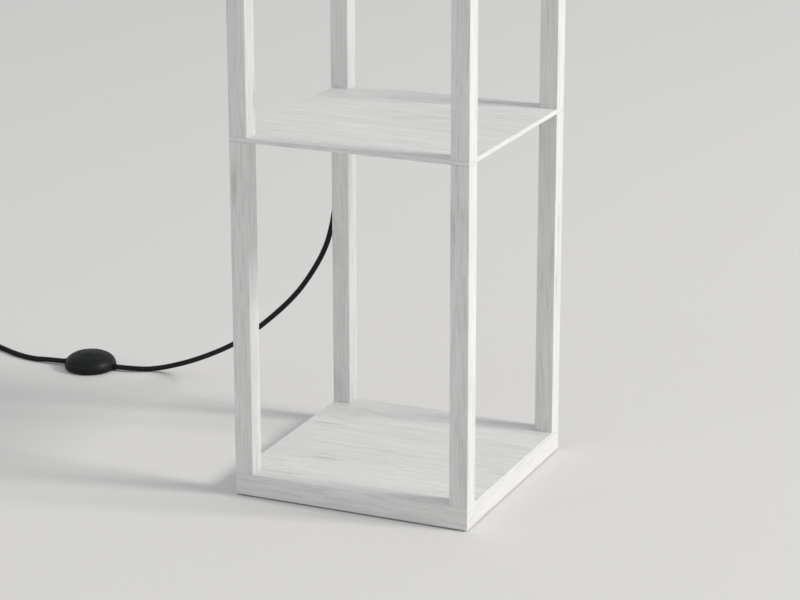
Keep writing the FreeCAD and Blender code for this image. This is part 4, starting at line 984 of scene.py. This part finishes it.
def relief_plate():
    """Oval plate of the strain relief, flat on the back of the post."""
    width = RELIEF_ROOT + RELIEF_SPREAD
    deselect()
    bpy.ops.mesh.primitive_cube_add(size=2.0, location=exit_mouth + Vector((0, RELIEF_PLATE / 2, 0)))
    plate = bpy.context.object
    plate.scale = (width, RELIEF_PLATE / 2, width / math.sin(EXIT_SLANT))
    keep_place()
    select_edges(plate, lambda a, b: abs(a.y - b.y) > RELIEF_PLATE / 2)
    bpy.ops.mesh.bevel(offset=width * PLATE_ROUNDING, segments=8, affect="EDGES")
    bpy.ops.object.mode_set(mode="OBJECT")
    return soften(plate, PLATE_EDGE)


def strain_relief(material):
    """Tapered, ribbed relief on an oval plate, where the flex leaves the back of the post."""
    outline = [
        (0, -RELIEF_SINK),
        (RELIEF_ROOT + RELIEF_SPREAD, -RELIEF_SINK),
        (RELIEF_ROOT + SLEEVE_STEP, RELIEF_FOOT),
    ]
    outline += ribbed_taper(
        RELIEF_ROOT, RELIEF_TIP, RELIEF_REACH, start=RELIEF_FOOT, end=RELIEF_END,
        count=RELIEF_RIBS, groove=RELIEF_GROOVE, marks=RELIEF_RIB, crest=RELIEF_CREST,
    )
    relief = soften(turned("ribbed_strain_relief", outline, SLEEVE_SIDES), RELIEF_EDGE)
    lay_along(relief, exit_mouth, exit_way)
    boolean(relief, relief_plate(), "UNION")
    boolean(relief, block(TRIM_LOW, (TRIM_RIGHT, exit_mouth.y, TRIM_TOP)))
    start = exit_mouth - exit_way * RELIEF_BORE_REACH
    boolean(relief, rod(CORD / 2 + RELIEF_BORE_ROOM, start, exit_way, 2 * RELIEF_BORE_REACH))
    return finish(relief, material, replaced=["cord_relief"])


# ---------------------------------------------------------------- foot switch
def dome(shrink, steps):
    """Outline of the cover from its rim up to the button's lip: a full shoulder and a nearly flat top."""
    knee_in, knee_down = COVER_KNEE
    rim = (SWITCH_RADIUS - shrink, SWITCH_RIM)
    knee = (SWITCH_RADIUS - knee_in - shrink, SWITCH_TOP - knee_down - shrink)
    top = (COVER_HOLE + COVER_LIP, SWITCH_TOP - shrink)
    points = []
    for i in range(steps + 1):
        t = i / steps
        a, b, c = (1 - t) ** 2, 2 * t * (1 - t), t * t
        points.append(tuple(a * rim[k] + b * knee[k] + c * top[k] for k in (0, 1)))
    return points


def gland_holes(piece):
    """Bore the holes for the flex's collars in both sides of a piece of the switch."""
    for side in (1, -1):
        start = on_cord_line(side * (SWITCH_RADIUS - GLAND_HOLE_DEPTH))
        boolean(piece, rod(GLAND_HOLE, start, SWITCH_WAY * side, 2 * GLAND_HOLE_DEPTH))
    return piece


def switch_cover(material):
    """Domed cover with a parting line at its foot and a fine raised lip round the button."""
    outline = [
        (SWITCH_RADIUS - SWITCH_WALL, SWITCH_RIM),
        (SWITCH_RADIUS - PARTING, SWITCH_RIM),
        (SWITCH_RADIUS - PARTING, SWITCH_RIM + 0.0004),
        (SWITCH_RADIUS - 0.0001, SWITCH_RIM + PARTING),
    ]
    outline += dome(0.0, 22)[2:]
    outline += [
        (COVER_HOLE + 0.0013, SWITCH_TOP - 0.0002),
        (COVER_HOLE + 0.0010, SWITCH_TOP),
        (COVER_HOLE + EDGE, SWITCH_TOP),
        (COVER_HOLE, SWITCH_TOP - EDGE),
        (COVER_HOLE, SWITCH_TOP - SWITCH_WALL),
    ]
    outline += dome(SWITCH_WALL, 10)[:0:-1]
    cover = gland_holes(turned("domed_switch_cover", outline, FINE_SIDES, SWITCH_PLACE, closed=True))
    return finish(cover, material, replaced=["switch_cover"])


def switch_housing(material):
    """Flat tray under the cover, with a drawn-in foot."""
    inner = SWITCH_RADIUS - SWITCH_WALL
    outline = [(0, SWITCH_PAD_TOP)]
    outline += [(SWITCH_RADIUS - drawn_in, SWITCH_PAD_TOP + up) for drawn_in, up in TRAY_FOOT]
    outline += [
        (SWITCH_RADIUS, SWITCH_RIM - EDGE),
        (SWITCH_RADIUS - EDGE, SWITCH_RIM),
        (inner, SWITCH_RIM),
        (inner, SWITCH_FLOOR_TOP),
        (0, SWITCH_FLOOR_TOP),
    ]
    tray = gland_holes(turned("switch_tray", outline, FINE_SIDES, SWITCH_PLACE))
    return finish(tray, material, replaced=["switch_housing"])


def switch_button(material):
    """Push button with a low crown, a ring groove near its edge, a flange under the cover and a stem."""
    ball = (BUTTON_RADIUS**2 + BUTTON_CROWN**2) / (2 * BUTTON_CROWN)

    def crown(radius, sunk=0.0):
        return (radius, SWITCH_TOP + BUTTON_CROWN - ball + math.sqrt(ball**2 - radius**2) - sunk)

    inner = BUTTON_RADIUS - BUTTON_WALL
    flange_top = BUTTON_FLANGE_LOW + BUTTON_FLANGE_SHEET
    groove = BUTTON_RADIUS * BUTTON_GROOVE
    outline = [
        (0, STEM_LOW),
        (STEM_RADIUS, STEM_LOW),
        (STEM_RADIUS, BUTTON_ROOF),
        (inner, BUTTON_ROOF),
        (inner, BUTTON_FLANGE_LOW),
        (BUTTON_FLANGE, BUTTON_FLANGE_LOW),
        (BUTTON_FLANGE, flange_top),
        (BUTTON_RADIUS, flange_top),
        (BUTTON_RADIUS, SWITCH_TOP - 0.0004),
        crown(BUTTON_RADIUS - 0.0001, 0.0001),
        crown(BUTTON_RADIUS - 0.0005),
        crown(groove + 2 * GROOVE_HALF),
        crown(groove + GROOVE_HALF, GROOVE_DEPTH),
        crown(groove - GROOVE_HALF, GROOVE_DEPTH),
        crown(groove - 2 * GROOVE_HALF),
    ]
    outline += [crown(groove * share) for share in (0.8, 0.6, 0.4, 0.2, 0.0)]
    button = turned("crowned_push_button", outline, FINE_SIDES, SWITCH_PLACE)
    return finish(button, material, replaced=["switch_button"], body="foot_button")


def switch_glands(material):
    """Ribbed collars that hold the flex on both sides of the switch."""
    bore = CORD / 2 - GLAND_GRIP
    reach = GLAND_DEPTH + GLAND_REACH
    outline = [(bore, 0), (GLAND_RADIUS, 0), (GLAND_RADIUS, GLAND_DEPTH + GLAND_COLLAR)]
    for share in GLAND_GROOVES:
        low = GLAND_DEPTH + GLAND_REACH * share
        outline += rib(GLAND_RADIUS, GLAND_GROOVE, low, GLAND_RIB)
    outline += [(GLAND_RADIUS - EDGE, reach), (bore, reach)]
    pieces = []
    for side in (1, -1):
        collar = turned("collar", outline, SLEEVE_SIDES, closed=True)
        start = on_cord_line(side * (SWITCH_RADIUS - GLAND_DEPTH))
        pieces.append(lay_along(collar, start, SWITCH_WAY * side))
    collars = join("ribbed_flex_collars", pieces)
    return finish(collars, material, replaced=["switch_glands"])


# ---------------------------------------------------------------- plug
def plug_body(nose):
    """Waisted oval body, drawn out ring by ring from its nose to its neck."""
    rings = (  # reach from the nose, half width and half thickness
        (0.0000, PLUG_NOSE[0] - 0.0010, PLUG_NOSE[1] - 0.0010),
        (0.0004, PLUG_NOSE[0] - 0.0003, PLUG_NOSE[1] - 0.0003),
        (0.0012, PLUG_NOSE[0], PLUG_NOSE[1]),
        (0.0110, PLUG_NOSE[0] + 0.0008, PLUG_NOSE[1] + 0.0003),
        (0.0190, PLUG_SHOULDER[0], PLUG_SHOULDER[1]),
        (0.0225, PLUG_SHOULDER[0] - 0.0007, PLUG_SHOULDER[1]),
        (0.0262, PLUG_SHOULDER[0] - 0.0040, PLUG_SHOULDER[1] - 0.0003),
        (0.0296, PLUG_SHOULDER[0] - 0.0078, PLUG_SHOULDER[1] - 0.0008),
        (PLUG_LENGTH, PLUG_NECK[0], PLUG_NECK[1]),
        (PLUG_LENGTH + 0.0015, PLUG_NECK[0] - 0.0008, PLUG_NECK[1] - 0.0005),
    )
    reach, width, thick = rings[0]
    deselect()
    bpy.ops.mesh.primitive_circle_add(vertices=PLUG_SIDES, radius=thick, fill_type="NGON", location=(0, 0, 0))
    body = bpy.context.object
    body.rotation_euler = (math.radians(90), 0, 0)
    body.location = nose
    keep_place()
    for side in (1, -1):
        select_points(body, lambda p: (p.x - nose.x) * side > MERGE)
        bpy.ops.transform.translate(value=(side * (width - thick), 0, 0))
    bpy.ops.mesh.select_all(action="SELECT")
    for next_reach, next_width, next_thick in rings[1:]:
        bpy.ops.mesh.extrude_region_move(TRANSFORM_OT_translate={"value": (0, next_reach - reach, 0)})
        middle = (nose.x, nose.y + next_reach, nose.z)
        bpy.ops.transform.resize(value=(next_width / width, 1, next_thick / thick), center_override=middle)
        reach, width, thick = next_reach, next_width, next_thick
    tidy_skin(merge=False)
    return body


def plug_tail(root):
    """Ribbed tail from the body's neck on to the flex."""
    outline = [(0, -PLUG_TAIL_SINK), (PLUG_TAIL_ROOT - SLEEVE_STEP, -PLUG_TAIL_SINK)]
    outline += ribbed_taper(
        PLUG_TAIL_ROOT, PLUG_TAIL_TIP, PLUG_TAIL, start=PLUG_RIB_START, end=PLUG_RIB_END,
        count=PLUG_RIBS, groove=PLUG_GROOVE, marks=PLUG_RIB,
    )
    tail = soften(turned("tail", outline, SLEEVE_SIDES), PLUG_RIB_EDGE)
    return lay_along(tail, root, Vector((0, 1, 0)))


def pair_on_nose(name, outline, nose):
    """Two like turned pieces that stand side by side out of the plug's nose."""
    pieces = []
    for side in (-1, 1):
        place = nose + Vector((side * PIN_SPACING / 2, 0, 0))
        pieces.append(lay_along(turned(name, outline, THIN_SIDES), place, Vector((0, -1, 0))))
    return pieces


def plug(rubber, metal):
    """Flat two-pin plug: its body and tail with black sleeves for the pins, and the pins."""
    root = plug_start() - Vector((0, PLUG_TAIL, 0))
    nose = root - Vector((0, PLUG_LENGTH, 0))
    radius, reach = PIN_SLEEVE
    sleeve = [
        (0, -PIN_DEPTH / 2),
        (radius, -PIN_DEPTH / 2),
        (radius, reach - 0.0004),
        (radius - 0.0002, reach),
        (0, reach),
    ]
    pin = [(0, -PIN_DEPTH), (PIN_RADIUS, -PIN_DEPTH), (PIN_RADIUS, PIN_REACH - PIN_TIP)]
    pin += arc((0.0, PIN_REACH - PIN_TIP), PIN_TIP, 20, 90, 5)
    body = join("two_pin_plug", [plug_body(nose), plug_tail(root)] + pair_on_nose("sleeve", sleeve, nose))
    pins = join("sleeved_plug_pins", pair_on_nose("pin", pin, nose))
    return (
        finish(body, rubber, replaced=["plug_body"]),
        finish(pins, metal, replaced=["plug_pins"]),
    )


# ---------------------------------------------------------------- flex and what hangs on it
def make_flex(rubber, plastic, metal):
    """Both free flexes with what hangs on them; their material serves the inner lead too."""
    material = black_flex()
    near = flex_to_switch(material)
    far = flex_to_plug(material)
    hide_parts("flex_to_switch")
    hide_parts("flex_to_coil", "cord_coil", "flex_to_plug")
    relief = strain_relief(rubber)
    switch = [switch_cover(plastic), switch_housing(plastic), switch_button(plastic), switch_glands(rubber)]
    switch += [nodes[n] for n in ("switch_pad", "switch_core", "switch_spring", "switch_screws")]
    list(plug(rubber, metal))
    return material


# ---------------------------------------------------------------- inner lead, canopy, lampholder and bulb
_, deck_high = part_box("lamp_deck")
deck_top = deck_high.z
holder_way = Vector((1, -1, 0)).normalized()
cap_low, cap_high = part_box("holder_cap")
holder_radius = (cap_high.x - cap_low.x) / 2
holder_joint = cap_high.z


def inner_lead(material):
    """The lead up the hollow column, over the deck in a low arch and up into the lampholder."""
    column = Vector((exit_mouth.x, (wired_low.y + wired_high.y) / 2, deck_top))
    landing = column + holder_way * LEAD_LANDING + UP * LEAD_LEVEL
    foot = Vector((0, 0, deck_top + LEAD_LEVEL))
    points = [relief_tip, exit_knee + exit_way * LEAD_EASE, exit_knee, exit_knee + UP * LEAD_EASE]
    points += [exit_knee + UP * LEAD_STRAIGHT, column - UP * LEAD_STRAIGHT]
    points += [column + holder_way * along + UP * above for along, above in LEAD_ARCH]
    points += [landing, foot - holder_way * LEAD_EASE, foot + UP * LEAD_RISE]
    points += [Vector((0, 0, cap_low.z + LEAD_END))]
    lead = wire("inner_lead_smooth", points, CORD / 2, section=6)
    return finish(lead, material, replaced=["inner_lead"])


def canopy(material):
    """Pressed steel cup: a flat flange, a drawn side, a soft bend and a flat top."""
    _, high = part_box("lamp_canopy")
    top, low, sheet, bend = high.z, deck_top, CANOPY_SHEET, CANOPY_BEND
    shoulder = (CANOPY_SHOULDER - bend, top - bend)
    foot = (CANOPY_FOOT + CANOPY_FOOT_STEP, low + sheet + CANOPY_FOOT_BEND)
    outline = [(CANOPY_FOOT - sheet - CANOPY_FOOT_BEND, low), (CANOPY_FLANGE - EDGE, low)]
    outline += arc((CANOPY_FLANGE - sheet / 2, low + sheet / 2), sheet / 2, -60, 90, 6)
    outline += arc(foot, CANOPY_FOOT_BEND, 270, 190, 5)
    outline += arc(shoulder, bend, 4, 90, 9)
    outline += [(NIPPLE_HOLE + EDGE, top), (NIPPLE_HOLE, top - EDGE), (NIPPLE_HOLE, top - sheet)]
    outline += arc(shoulder, bend - sheet, 90, 4, 6)
    cup = turned("pressed_canopy", outline, FINE_SIDES, closed=True)
    lead_line = Vector((0, 0, low + LEAD_LEVEL))
    boolean(cup, rod(CORD / 2 + LEAD_ROOM, lead_line, -holder_way, LEAD_HOLE_REACH))
    return finish(cup, material, replaced=["lamp_canopy"])


def canopy_screws(material):
    """Pan-head screws with a slot, through flange and deck."""
    low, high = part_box("canopy_screws")
    seat = deck_top + CANOPY_SHEET
    point = 0.0004
    edge = (SCREW_HEAD, seat + SCREW_HEAD_EDGE)
    outline = [
        (0, low.z),
        (SCREW_RADIUS - point, low.z),
        (SCREW_RADIUS, low.z + point),
        (SCREW_RADIUS, seat),
        (SCREW_HEAD, seat),
        edge,
    ]
    outline += bow(edge, (0, high.z), SCREW_HEAD_BULGE, 7)
    screw = turned("screw", outline, THIN_SIDES)
    half, depth = SCREW_SLOT
    past = SCREW_HEAD + 0.0012
    boolean(screw, block((-past, -half, high.z - depth), (past, half, high.z + 0.001)))
    places = []
    for i in range(CANOPY_SCREWS):
        angle = math.radians(CANOPY_SCREW_TURN + 360 / CANOPY_SCREWS * i)
        places.append(Vector((math.cos(angle), math.sin(angle), 0)) * CANOPY_SCREW_CIRCLE)
    screws = copies("slotted_canopy_screws", screw, places)
    return finish(screws, material, replaced=["canopy_screws"])


def holder_cap(material):
    """Flared cap of the lampholder, with a hub for the nipple."""
    hub_top = cap_low.z + HOLDER_HUB_RISE
    flare_top = holder_joint - FLARE_DROP
    inner = holder_radius - HOLDER_WALL
    outline = [
        (NIPPLE_HOLE, cap_low.z),
        (HOLDER_HUB - HOLDER_EDGE, cap_low.z),
        (HOLDER_HUB, cap_low.z + HOLDER_EDGE),
        (HOLDER_HUB, hub_top),
    ]
    outline += bow((HOLDER_HUB, hub_top), (holder_radius, flare_top), FLARE_BULGE, 10)
    outline += [
        (holder_radius, holder_joint - 0.0006),
        (holder_radius - HOLDER_EDGE, holder_joint - 0.0001),
        (inner, holder_joint),
        (inner, flare_top),
    ]
    outline += bow((inner, flare_top), (HOLDER_HUB, hub_top + HOLDER_WALL), -FLARE_BULGE_INSIDE, 6)
    outline += [(NIPPLE_HOLE, hub_top + HOLDER_WALL)]
    cap = turned("flared_holder_cap", outline, closed=True)
    return finish(cap, material, replaced=["holder_cap"])


def holder_body(material):
    """Body of the lampholder: a spigot in the cap, a shoulder for the shade and a thread for its ring."""
    low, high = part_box("holder_body")
    shoulder_low, shoulder_top = holder_joint + SHOULDER_LOW, holder_joint + SHOULDER_TOP
    shoulder = holder_radius + SHOULDER_WIDTH
    spigot = holder_radius - HOLDER_WALL - SPIGOT_ROOM
    inner = holder_radius - BODY_WALL
    root, pitch = holder_radius - THREAD_DEPTH, THREAD_PITCH
    outline = [
        (inner, low.z),
        (spigot, low.z),
        (spigot, holder_joint),
        (holder_radius, holder_joint),
        (holder_radius, shoulder_low),
        (shoulder - HOLDER_EDGE, shoulder_low),
        (shoulder, shoulder_low + HOLDER_EDGE),
        (shoulder, shoulder_top - HOLDER_EDGE),
        (shoulder - HOLDER_EDGE, shoulder_top),
        (root, shoulder_top),
    ]
    thread = shoulder_top + THREAD_START
    turns = int((high.z - shoulder_top - THREAD_SPARE) / pitch)
    for i in range(turns):
        start = thread + pitch * i
        outline += [(root, start), (holder_radius, start + pitch * 0.4), (holder_radius, start + pitch * 0.6)]
    outline += [
        (root, thread + pitch * turns),
        (root, high.z - MOUTH_EDGE),
        (root - MOUTH_EDGE, high.z),
        (BODY_MOUTH, high.z),
        (BODY_MOUTH, high.z - BODY_LIP),
        (inner, high.z - BODY_LIP),
    ]
    body = turned("threaded_holder_body", outline, closed=True)
    return finish(body, material, replaced=["holder_body"])


def bulb_housing(material):
    """White housing that widens from the cap to the dome."""
    low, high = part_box("bulb_housing")
    rim, height = (high.x - low.x) / 2, high.z - low.z
    outline = [(0, low.z)] + [(radius, low.z + rise) for radius, rise in BULB_NECK]
    outline += [(radius, low.z + height * share) for share, radius in BULB_SHAPE]
    outline += [(rim, high.z - BULB_RIM), (rim, high.z - EDGE), (rim - EDGE, high.z), (0, high.z)]
    housing = turned("waisted_bulb_housing", outline, FINE_SIDES)
    return finish(housing, material, replaced=["bulb_housing"], body="bulb")


def bulb_dome(material):
    """Frosted dome, a hollow shell on the housing's rim."""
    low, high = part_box("bulb_globe")
    outer = (high.x - low.x) / 2
    hollow = outer - GLOBE_WALL
    middle = (0.0, high.z - outer)
    outer_seat, hollow_seat = (math.degrees(math.asin((low.z - middle[1]) / r)) for r in (outer, hollow))
    outline = [(0, high.z)] + arc(middle, outer, 90, outer_seat, 26)[1:]
    outline += arc(middle, hollow, hollow_seat, 90, 16)[:-1] + [(0, middle[1] + hollow)]
    dome_piece = turned("frosted_bulb_dome", outline, FINE_SIDES)
    return finish(dome_piece, material, replaced=["bulb_globe"], body="bulb")


# ---------------------------------------------------------------- shade
fabric_low, fabric_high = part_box("shade_fabric")
hem_low, hem_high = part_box("shade_hems")
hem_face = hem_high.x
_, ring_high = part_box("upper_shade_ring")
ring_line = ring_high.x - RING_WIRE


def round_square(reach, corner, along):
    """Place and outward direction on a rounded square, that far along it from the middle of the back."""
    flat = reach - corner
    quarter = 2 * flat + math.pi / 2 * corner
    count = math.floor(along / quarter)
    rest = along - count * quarter
    bend = math.pi / 2 * corner
    if rest < flat:
        place, way = Vector((-rest, reach, 0)), Vector((0, 1, 0))
    elif rest < flat + bend:
        angle = (rest - flat) / corner
        way = Vector((-math.sin(angle), math.cos(angle), 0))
        place = Vector((-flat, flat, 0)) + way * corner
    else:
        place, way = Vector((-reach, flat - (rest - flat - bend), 0)), Vector((-1, 0, 0))
    turn = Matrix.Rotation(math.radians(90) * count, 3, "Z")
    return turn @ place, turn @ way


def round_square_length(reach, corner):
    """Way round a rounded square."""
    return 8 * (reach - corner) + 2 * math.pi * corner


def flat_cloth(name, width, height, across, up):
    """Cloth laid out flat at its cut size, with its own map."""
    deselect()
    bpy.ops.mesh.primitive_grid_add(x_subdivisions=across, y_subdivisions=up, size=1.0)
    cloth = bpy.context.object
    cloth.name = cloth.data.name = name
    cloth.scale = (width, height, 1)
    keep_place()
    return cloth


def wrap_cloth(cloth, place):
    """Move every point of the flat cloth to place(along, up), both from the cloth's low left corner."""
    low_x = min(p.co.x for p in cloth.data.vertices)
    low_y = min(p.co.y for p in cloth.data.vertices)
    for point in cloth.data.vertices:
        point.co = place(point.co.x - low_x, point.co.y - low_y)


def thicken(piece, thickness):
    """Give a sheet its thickness, half to each side."""
    modifier = piece.modifiers.new("thickness", "SOLIDIFY")
    modifier.thickness = thickness
    modifier.offset = 0.0
    modifier.use_even_offset = True
    apply_all(piece)
    edit(piece)
    tidy_skin(merge=False)
    return piece


def shade_cloth():
    """Linen stretched round the frame, its end lapped over its start near a back corner."""
    reach = fabric_high.x - SHEET / 2
    corner = SHADE_CORNER - SHEET * 1.5
    around = round_square_length(reach, corner)
    width = around + SEAM_OVERLAP
    height = fabric_high.z - fabric_low.z
    cloth = flat_cloth("linen_shade_cloth", width, height, CLOTH_COLUMNS, CLOTH_ROWS)

    def place(along, up):
        spot, way = round_square(reach, corner, along + SEAM_PLACE)
        lap = min(1.0, max(0.0, (along - around + SEAM_EASE) / SEAM_EASE))
        lap = lap * lap * (3 - 2 * lap)
        wave = math.sin(along * WAVE_ALONG) * math.sin(up * WAVE_UP + along * WAVE_SKEW)
        ease = min(1.0, up / WAVE_EASE, (height - up) / WAVE_EASE)
        out = lap * (SHEET * 1.02) + WAVE_DEPTH * ease * (1 + wave)
        return spot + way * out + UP * (fabric_low.z + up)

    wrap_cloth(cloth, place)
    thicken(cloth, SHEET)
    finish(cloth, shade_linen(width, height), replaced=["shade_fabric"])
    return cloth, width, height


def hem_path():
    """Section of the hem tape: down the outside, under the ring wire and up behind it. Each point is
    (reach from the middle, height above the shade's lower edge)."""
    outer, under = hem_face - SHEET / 2, SHEET / 2
    points = [(outer, HEM_HEIGHT), (outer, HEM_HEIGHT * 0.55), (outer, HEM_BEND + under)]
    points += arc((outer - HEM_BEND, under + HEM_BEND), HEM_BEND, 0, -90, 4)[1:]
    wrap = RING_WIRE + RING_ROOM + SHEET / 2
    wire_height = SHEET + RING_ROOM + RING_WIRE
    points += arc((ring_line, wire_height), wrap, -90, -230, 7)
    points += [(ring_line + out, wire_height + wrap + rise) for out, rise in HEM_TAIL]
    end_out, end_drop = HEM_TAIL_END
    return points + [(ring_line + end_out, HEM_HEIGHT - end_drop)]


def evenly(points, count):
    """The same line through points, given by so many steps of one length along it, and its length."""
    reached = [0.0]
    for a, b in zip(points, points[1:]):
        reached.append(reached[-1] + math.dist(a, b))
    spread = []
    for i in range(count + 1):
        along = reached[-1] * i / count
        leg = max(k for k in range(len(points) - 1) if reached[k] <= along)
        share = (along - reached[leg]) / (reached[leg + 1] - reached[leg])
        spread.append(tuple(Vector(points[leg]).lerp(Vector(points[leg + 1]), share)))
    return spread, reached[-1]


def hem(name, edge, up_way):
    """Tape folded round one edge of the shade, and its width."""
    section, height = evenly(hem_path(), HEM_ROWS)
    corner = SHADE_CORNER - SHEET / 2
    outer = hem_face - SHEET / 2
    tape = flat_cloth(name, round_square_length(outer, corner), height, CLOTH_COLUMNS, HEM_ROWS)

    def place(along, up):
        reach, rise = section[round(up / height * HEM_ROWS)]
        spot, way = round_square(outer, corner, along)
        return spot - way * (outer - reach) + UP * (edge + up_way * rise)

    wrap_cloth(tape, place)
    edit(tape)
    tidy_skin()
    return thicken(tape, SHEET), height


def shade_hems():
    """Rolled tapes at the shade's lower and upper edges."""
    (low, height), (high, _) = hem("low", hem_low.z, 1), hem("high", hem_high.z, -1)
    linen_tape = shade_linen(round_square_length(hem_face, SHADE_CORNER), height)
    return finish(join("rolled_shade_hems", [low, high]), linen_tape, replaced=["shade_hems"])


def square_ring(name, height):
    """Round wire bent to a square with rounded corners."""
    corner = SHADE_CORNER - (hem_face - ring_line)
    flat = ring_line - corner
    side = [Vector((ring_line, y, height)) for y in (-flat, -flat / 2, flat / 2, flat, ring_line)]
    points = []
    for quarter in range(4):
        turn = Matrix.Rotation(math.radians(90 * quarter), 3, "Z")
        points += [turn @ point for point in side]
    return wire(name, points, RING_WIRE, section=5, cyclic=True)


def shade_spider(material):
    """Spider with its flat ring, four bent arms and the lower square ring, all welded."""
    low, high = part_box("shade_carrier")
    ring_height = low.z + RING_WIRE
    under, top = high.z - SPIDER_SHEET, high.z
    plate = [
        (SPIDER_BORE, under),
        (SPIDER_RIM - 0.0002, under),
        (SPIDER_RIM, under + 0.0002),
        (SPIDER_RIM, top - 0.0004),
        (SPIDER_RIM - 0.0004, top),
        (SPIDER_BORE + 0.0004, top),
        (SPIDER_BORE, top - 0.0004),
    ]
    parts = [turned("spider_plate", plate, closed=True)]
    for quarter in range(4):
        way = Matrix.Rotation(math.radians(90 * quarter), 3, "Z") @ Vector((1, 0, 0))
        start = way * ARM_START + UP * (under - ARM_WIRE / 3)
        end = way * (ring_line - RING_WIRE / 2) + UP * (ring_height + RING_WIRE)
        run = (end - start).normalized() * ARM_RUN
        points = [start, start + run, (start + end) / 2, end - run, end]
        parts.append(wire("arm", points, ARM_WIRE, section=5))
    parts.append(square_ring("lower_ring", ring_height))
    spider = join("welded_shade_spider", parts)
    return finish(spider, material, replaced=["shade_carrier"])


def upper_ring(material):
    """Square wire that holds the upper edge of the shade."""
    ring = square_ring("upper_square_ring", ring_high.z - RING_WIRE)
    return finish(ring, material, replaced=["upper_shade_ring"])


def make_shade(steel):
    """The shade: its cloth and hems on the liner, the spider and the upper ring."""
    cloth, width, height = shade_cloth()
    hems = shade_hems()
    paint(nodes["shade_liner"], shade_backing())
    shade_spider(steel)
    upper_ring(steel)


# ---------------------------------------------------------------- pieces that keep their shape
def finish_hardware(plastic, rubber, zinc, nickel):
    """Finishes for the pieces that keep their shape."""
    brass = plated("stamped_brass", BRASS, 0.30)
    spring = plated("bright_spring_wire", SPRING_STEEL, 0.25)
    ceramic = moulded("unglazed_insulator", CERAMIC, rough=0.70, grain=900.0, depth=0.00008)
    for names, material in (
        (("base_bolts", "post_inserts", "joint_studs", "deck_bolts", "wire_inserts", "wire_nipples"), zinc),
        (("canopy_nuts", "holder_nipple", "nipple_locknuts", "switch_screws"), zinc),
        (("deck_bushing", "switch_pad"), rubber),
        (("foot_pads",), felt()),
        (("holder_insert", "switch_core"), ceramic),
        (("screw_shell", "centre_contact"), brass),
        (("bulb_cap",), nickel),
        (("shade_ring",), plastic),
        (("switch_spring",), spring),
    ):
        for name in names:
            paint(nodes[name], material)


# ---------------------------------------------------------------- studio
def make_studio():
    """Wide matte floor."""
    deselect()
    bpy.ops.mesh.primitive_plane_add(size=FLOOR_SIZE, location=(0, 0, 0))
    floor = bpy.context.object
    floor.name = "studio_floor"
    material, _, shader, _ = new_material("studio_floor")
    shader.inputs["Base Color"].default_value = (*FLOOR_COLOR, 1.0)
    shader.inputs["Roughness"].default_value = FLOOR_ROUGHNESS
    paint(floor, material)
    deselect()


def area_light(name, place, size, power, color):
    """Square light that faces the middle of the lamp."""
    data = bpy.data.lights.new(name, "AREA")
    data.size = size
    data.energy = power
    data.color = color
    light = bpy.data.objects.new(name, data)
    light.location = place
    light.rotation_mode = "QUATERNION"
    light.rotation_quaternion = (Vector(LIGHT_TARGET) - Vector(place)).to_track_quat("-Z", "Y")
    bpy.context.scene.collection.objects.link(light)


def make_lights():
    """A key light, a weak fill and the even light of the studio."""
    area_light("key", KEY_PLACE, KEY_SIZE, KEY_POWER, KEY_COLOR)
    area_light("fill", FILL_PLACE, FILL_SIZE, FILL_POWER, FILL_COLOR)
    world = bpy.data.worlds.new("studio")
    world.use_nodes = True
    background = world.node_tree.nodes["Background"]
    background.inputs["Color"].default_value = (*WORLD_COLOR, 1)
    background.inputs["Strength"].default_value = WORLD_LIGHT
    bpy.context.scene.world = world
    bpy.context.scene.view_settings.view_transform = "Standard"


def make_camera():
    """Camera at the place and with the lens of the view that the lamp was measured from."""
    data = bpy.data.cameras.new("camera")
    data.sensor_width = SENSOR
    data.lens = LENS
    camera = bpy.data.objects.new("camera", data)
    turn = Matrix.Rotation(math.radians(CAMERA_TURN), 4, "Z")
    dip = Matrix.Rotation(math.radians(90 - CAMERA_DIP), 4, "X")
    roll = Matrix.Rotation(math.radians(CAMERA_ROLL), 4, "Z")
    camera.matrix_world = Matrix.Translation(CAMERA_PLACE) @ turn @ dip @ roll
    bpy.context.scene.collection.objects.link(camera)
    bpy.context.scene.camera = camera


# ---------------------------------------------------------------- the lamp and its picture
deselect()
make_camera()
make_lights()
make_studio()
finish_wood()
black_rubber = moulded(
    "moulded_black_rubber", RUBBER_BLACK, rough=0.60, grain=900.0, depth=0.00009, shade=0.80, gloss=0.22
)
switch_black = moulded(
    "satin_black_plastic", SATIN_BLACK, rough=0.46, grain=1500.0, depth=0.00005, shade=0.85, gloss=0.22
)
white_plastic = moulded(
    "white_holder_plastic", HOLDER_WHITE, rough=0.36, grain=900.0, depth=0.00003, shade=0.97
)
white_bulb = moulded("white_bulb_plastic", BULB_WHITE, rough=0.32, grain=1200.0, depth=0.00002, shade=0.975)
zinc_plate = plated("zinc_plated_steel", ZINC, 0.34)
nickel_plate = plated("nickel_plate", NICKEL, 0.22)
coated_steel = powder_coat()
flex_black = make_flex(black_rubber, switch_black, nickel_plate)
inner_lead(flex_black)
canopy(coated_steel)
canopy_screws(zinc_plate)
holder_cap(white_plastic)
holder_body(white_plastic)
frosted_dome = opal()
bulb_housing(white_bulb)
bulb_dome(frosted_dome)
make_shade(coated_steel)
finish_hardware(white_plastic, black_rubber, zinc_plate, nickel_plate)

bpy.context.view_layer.update()
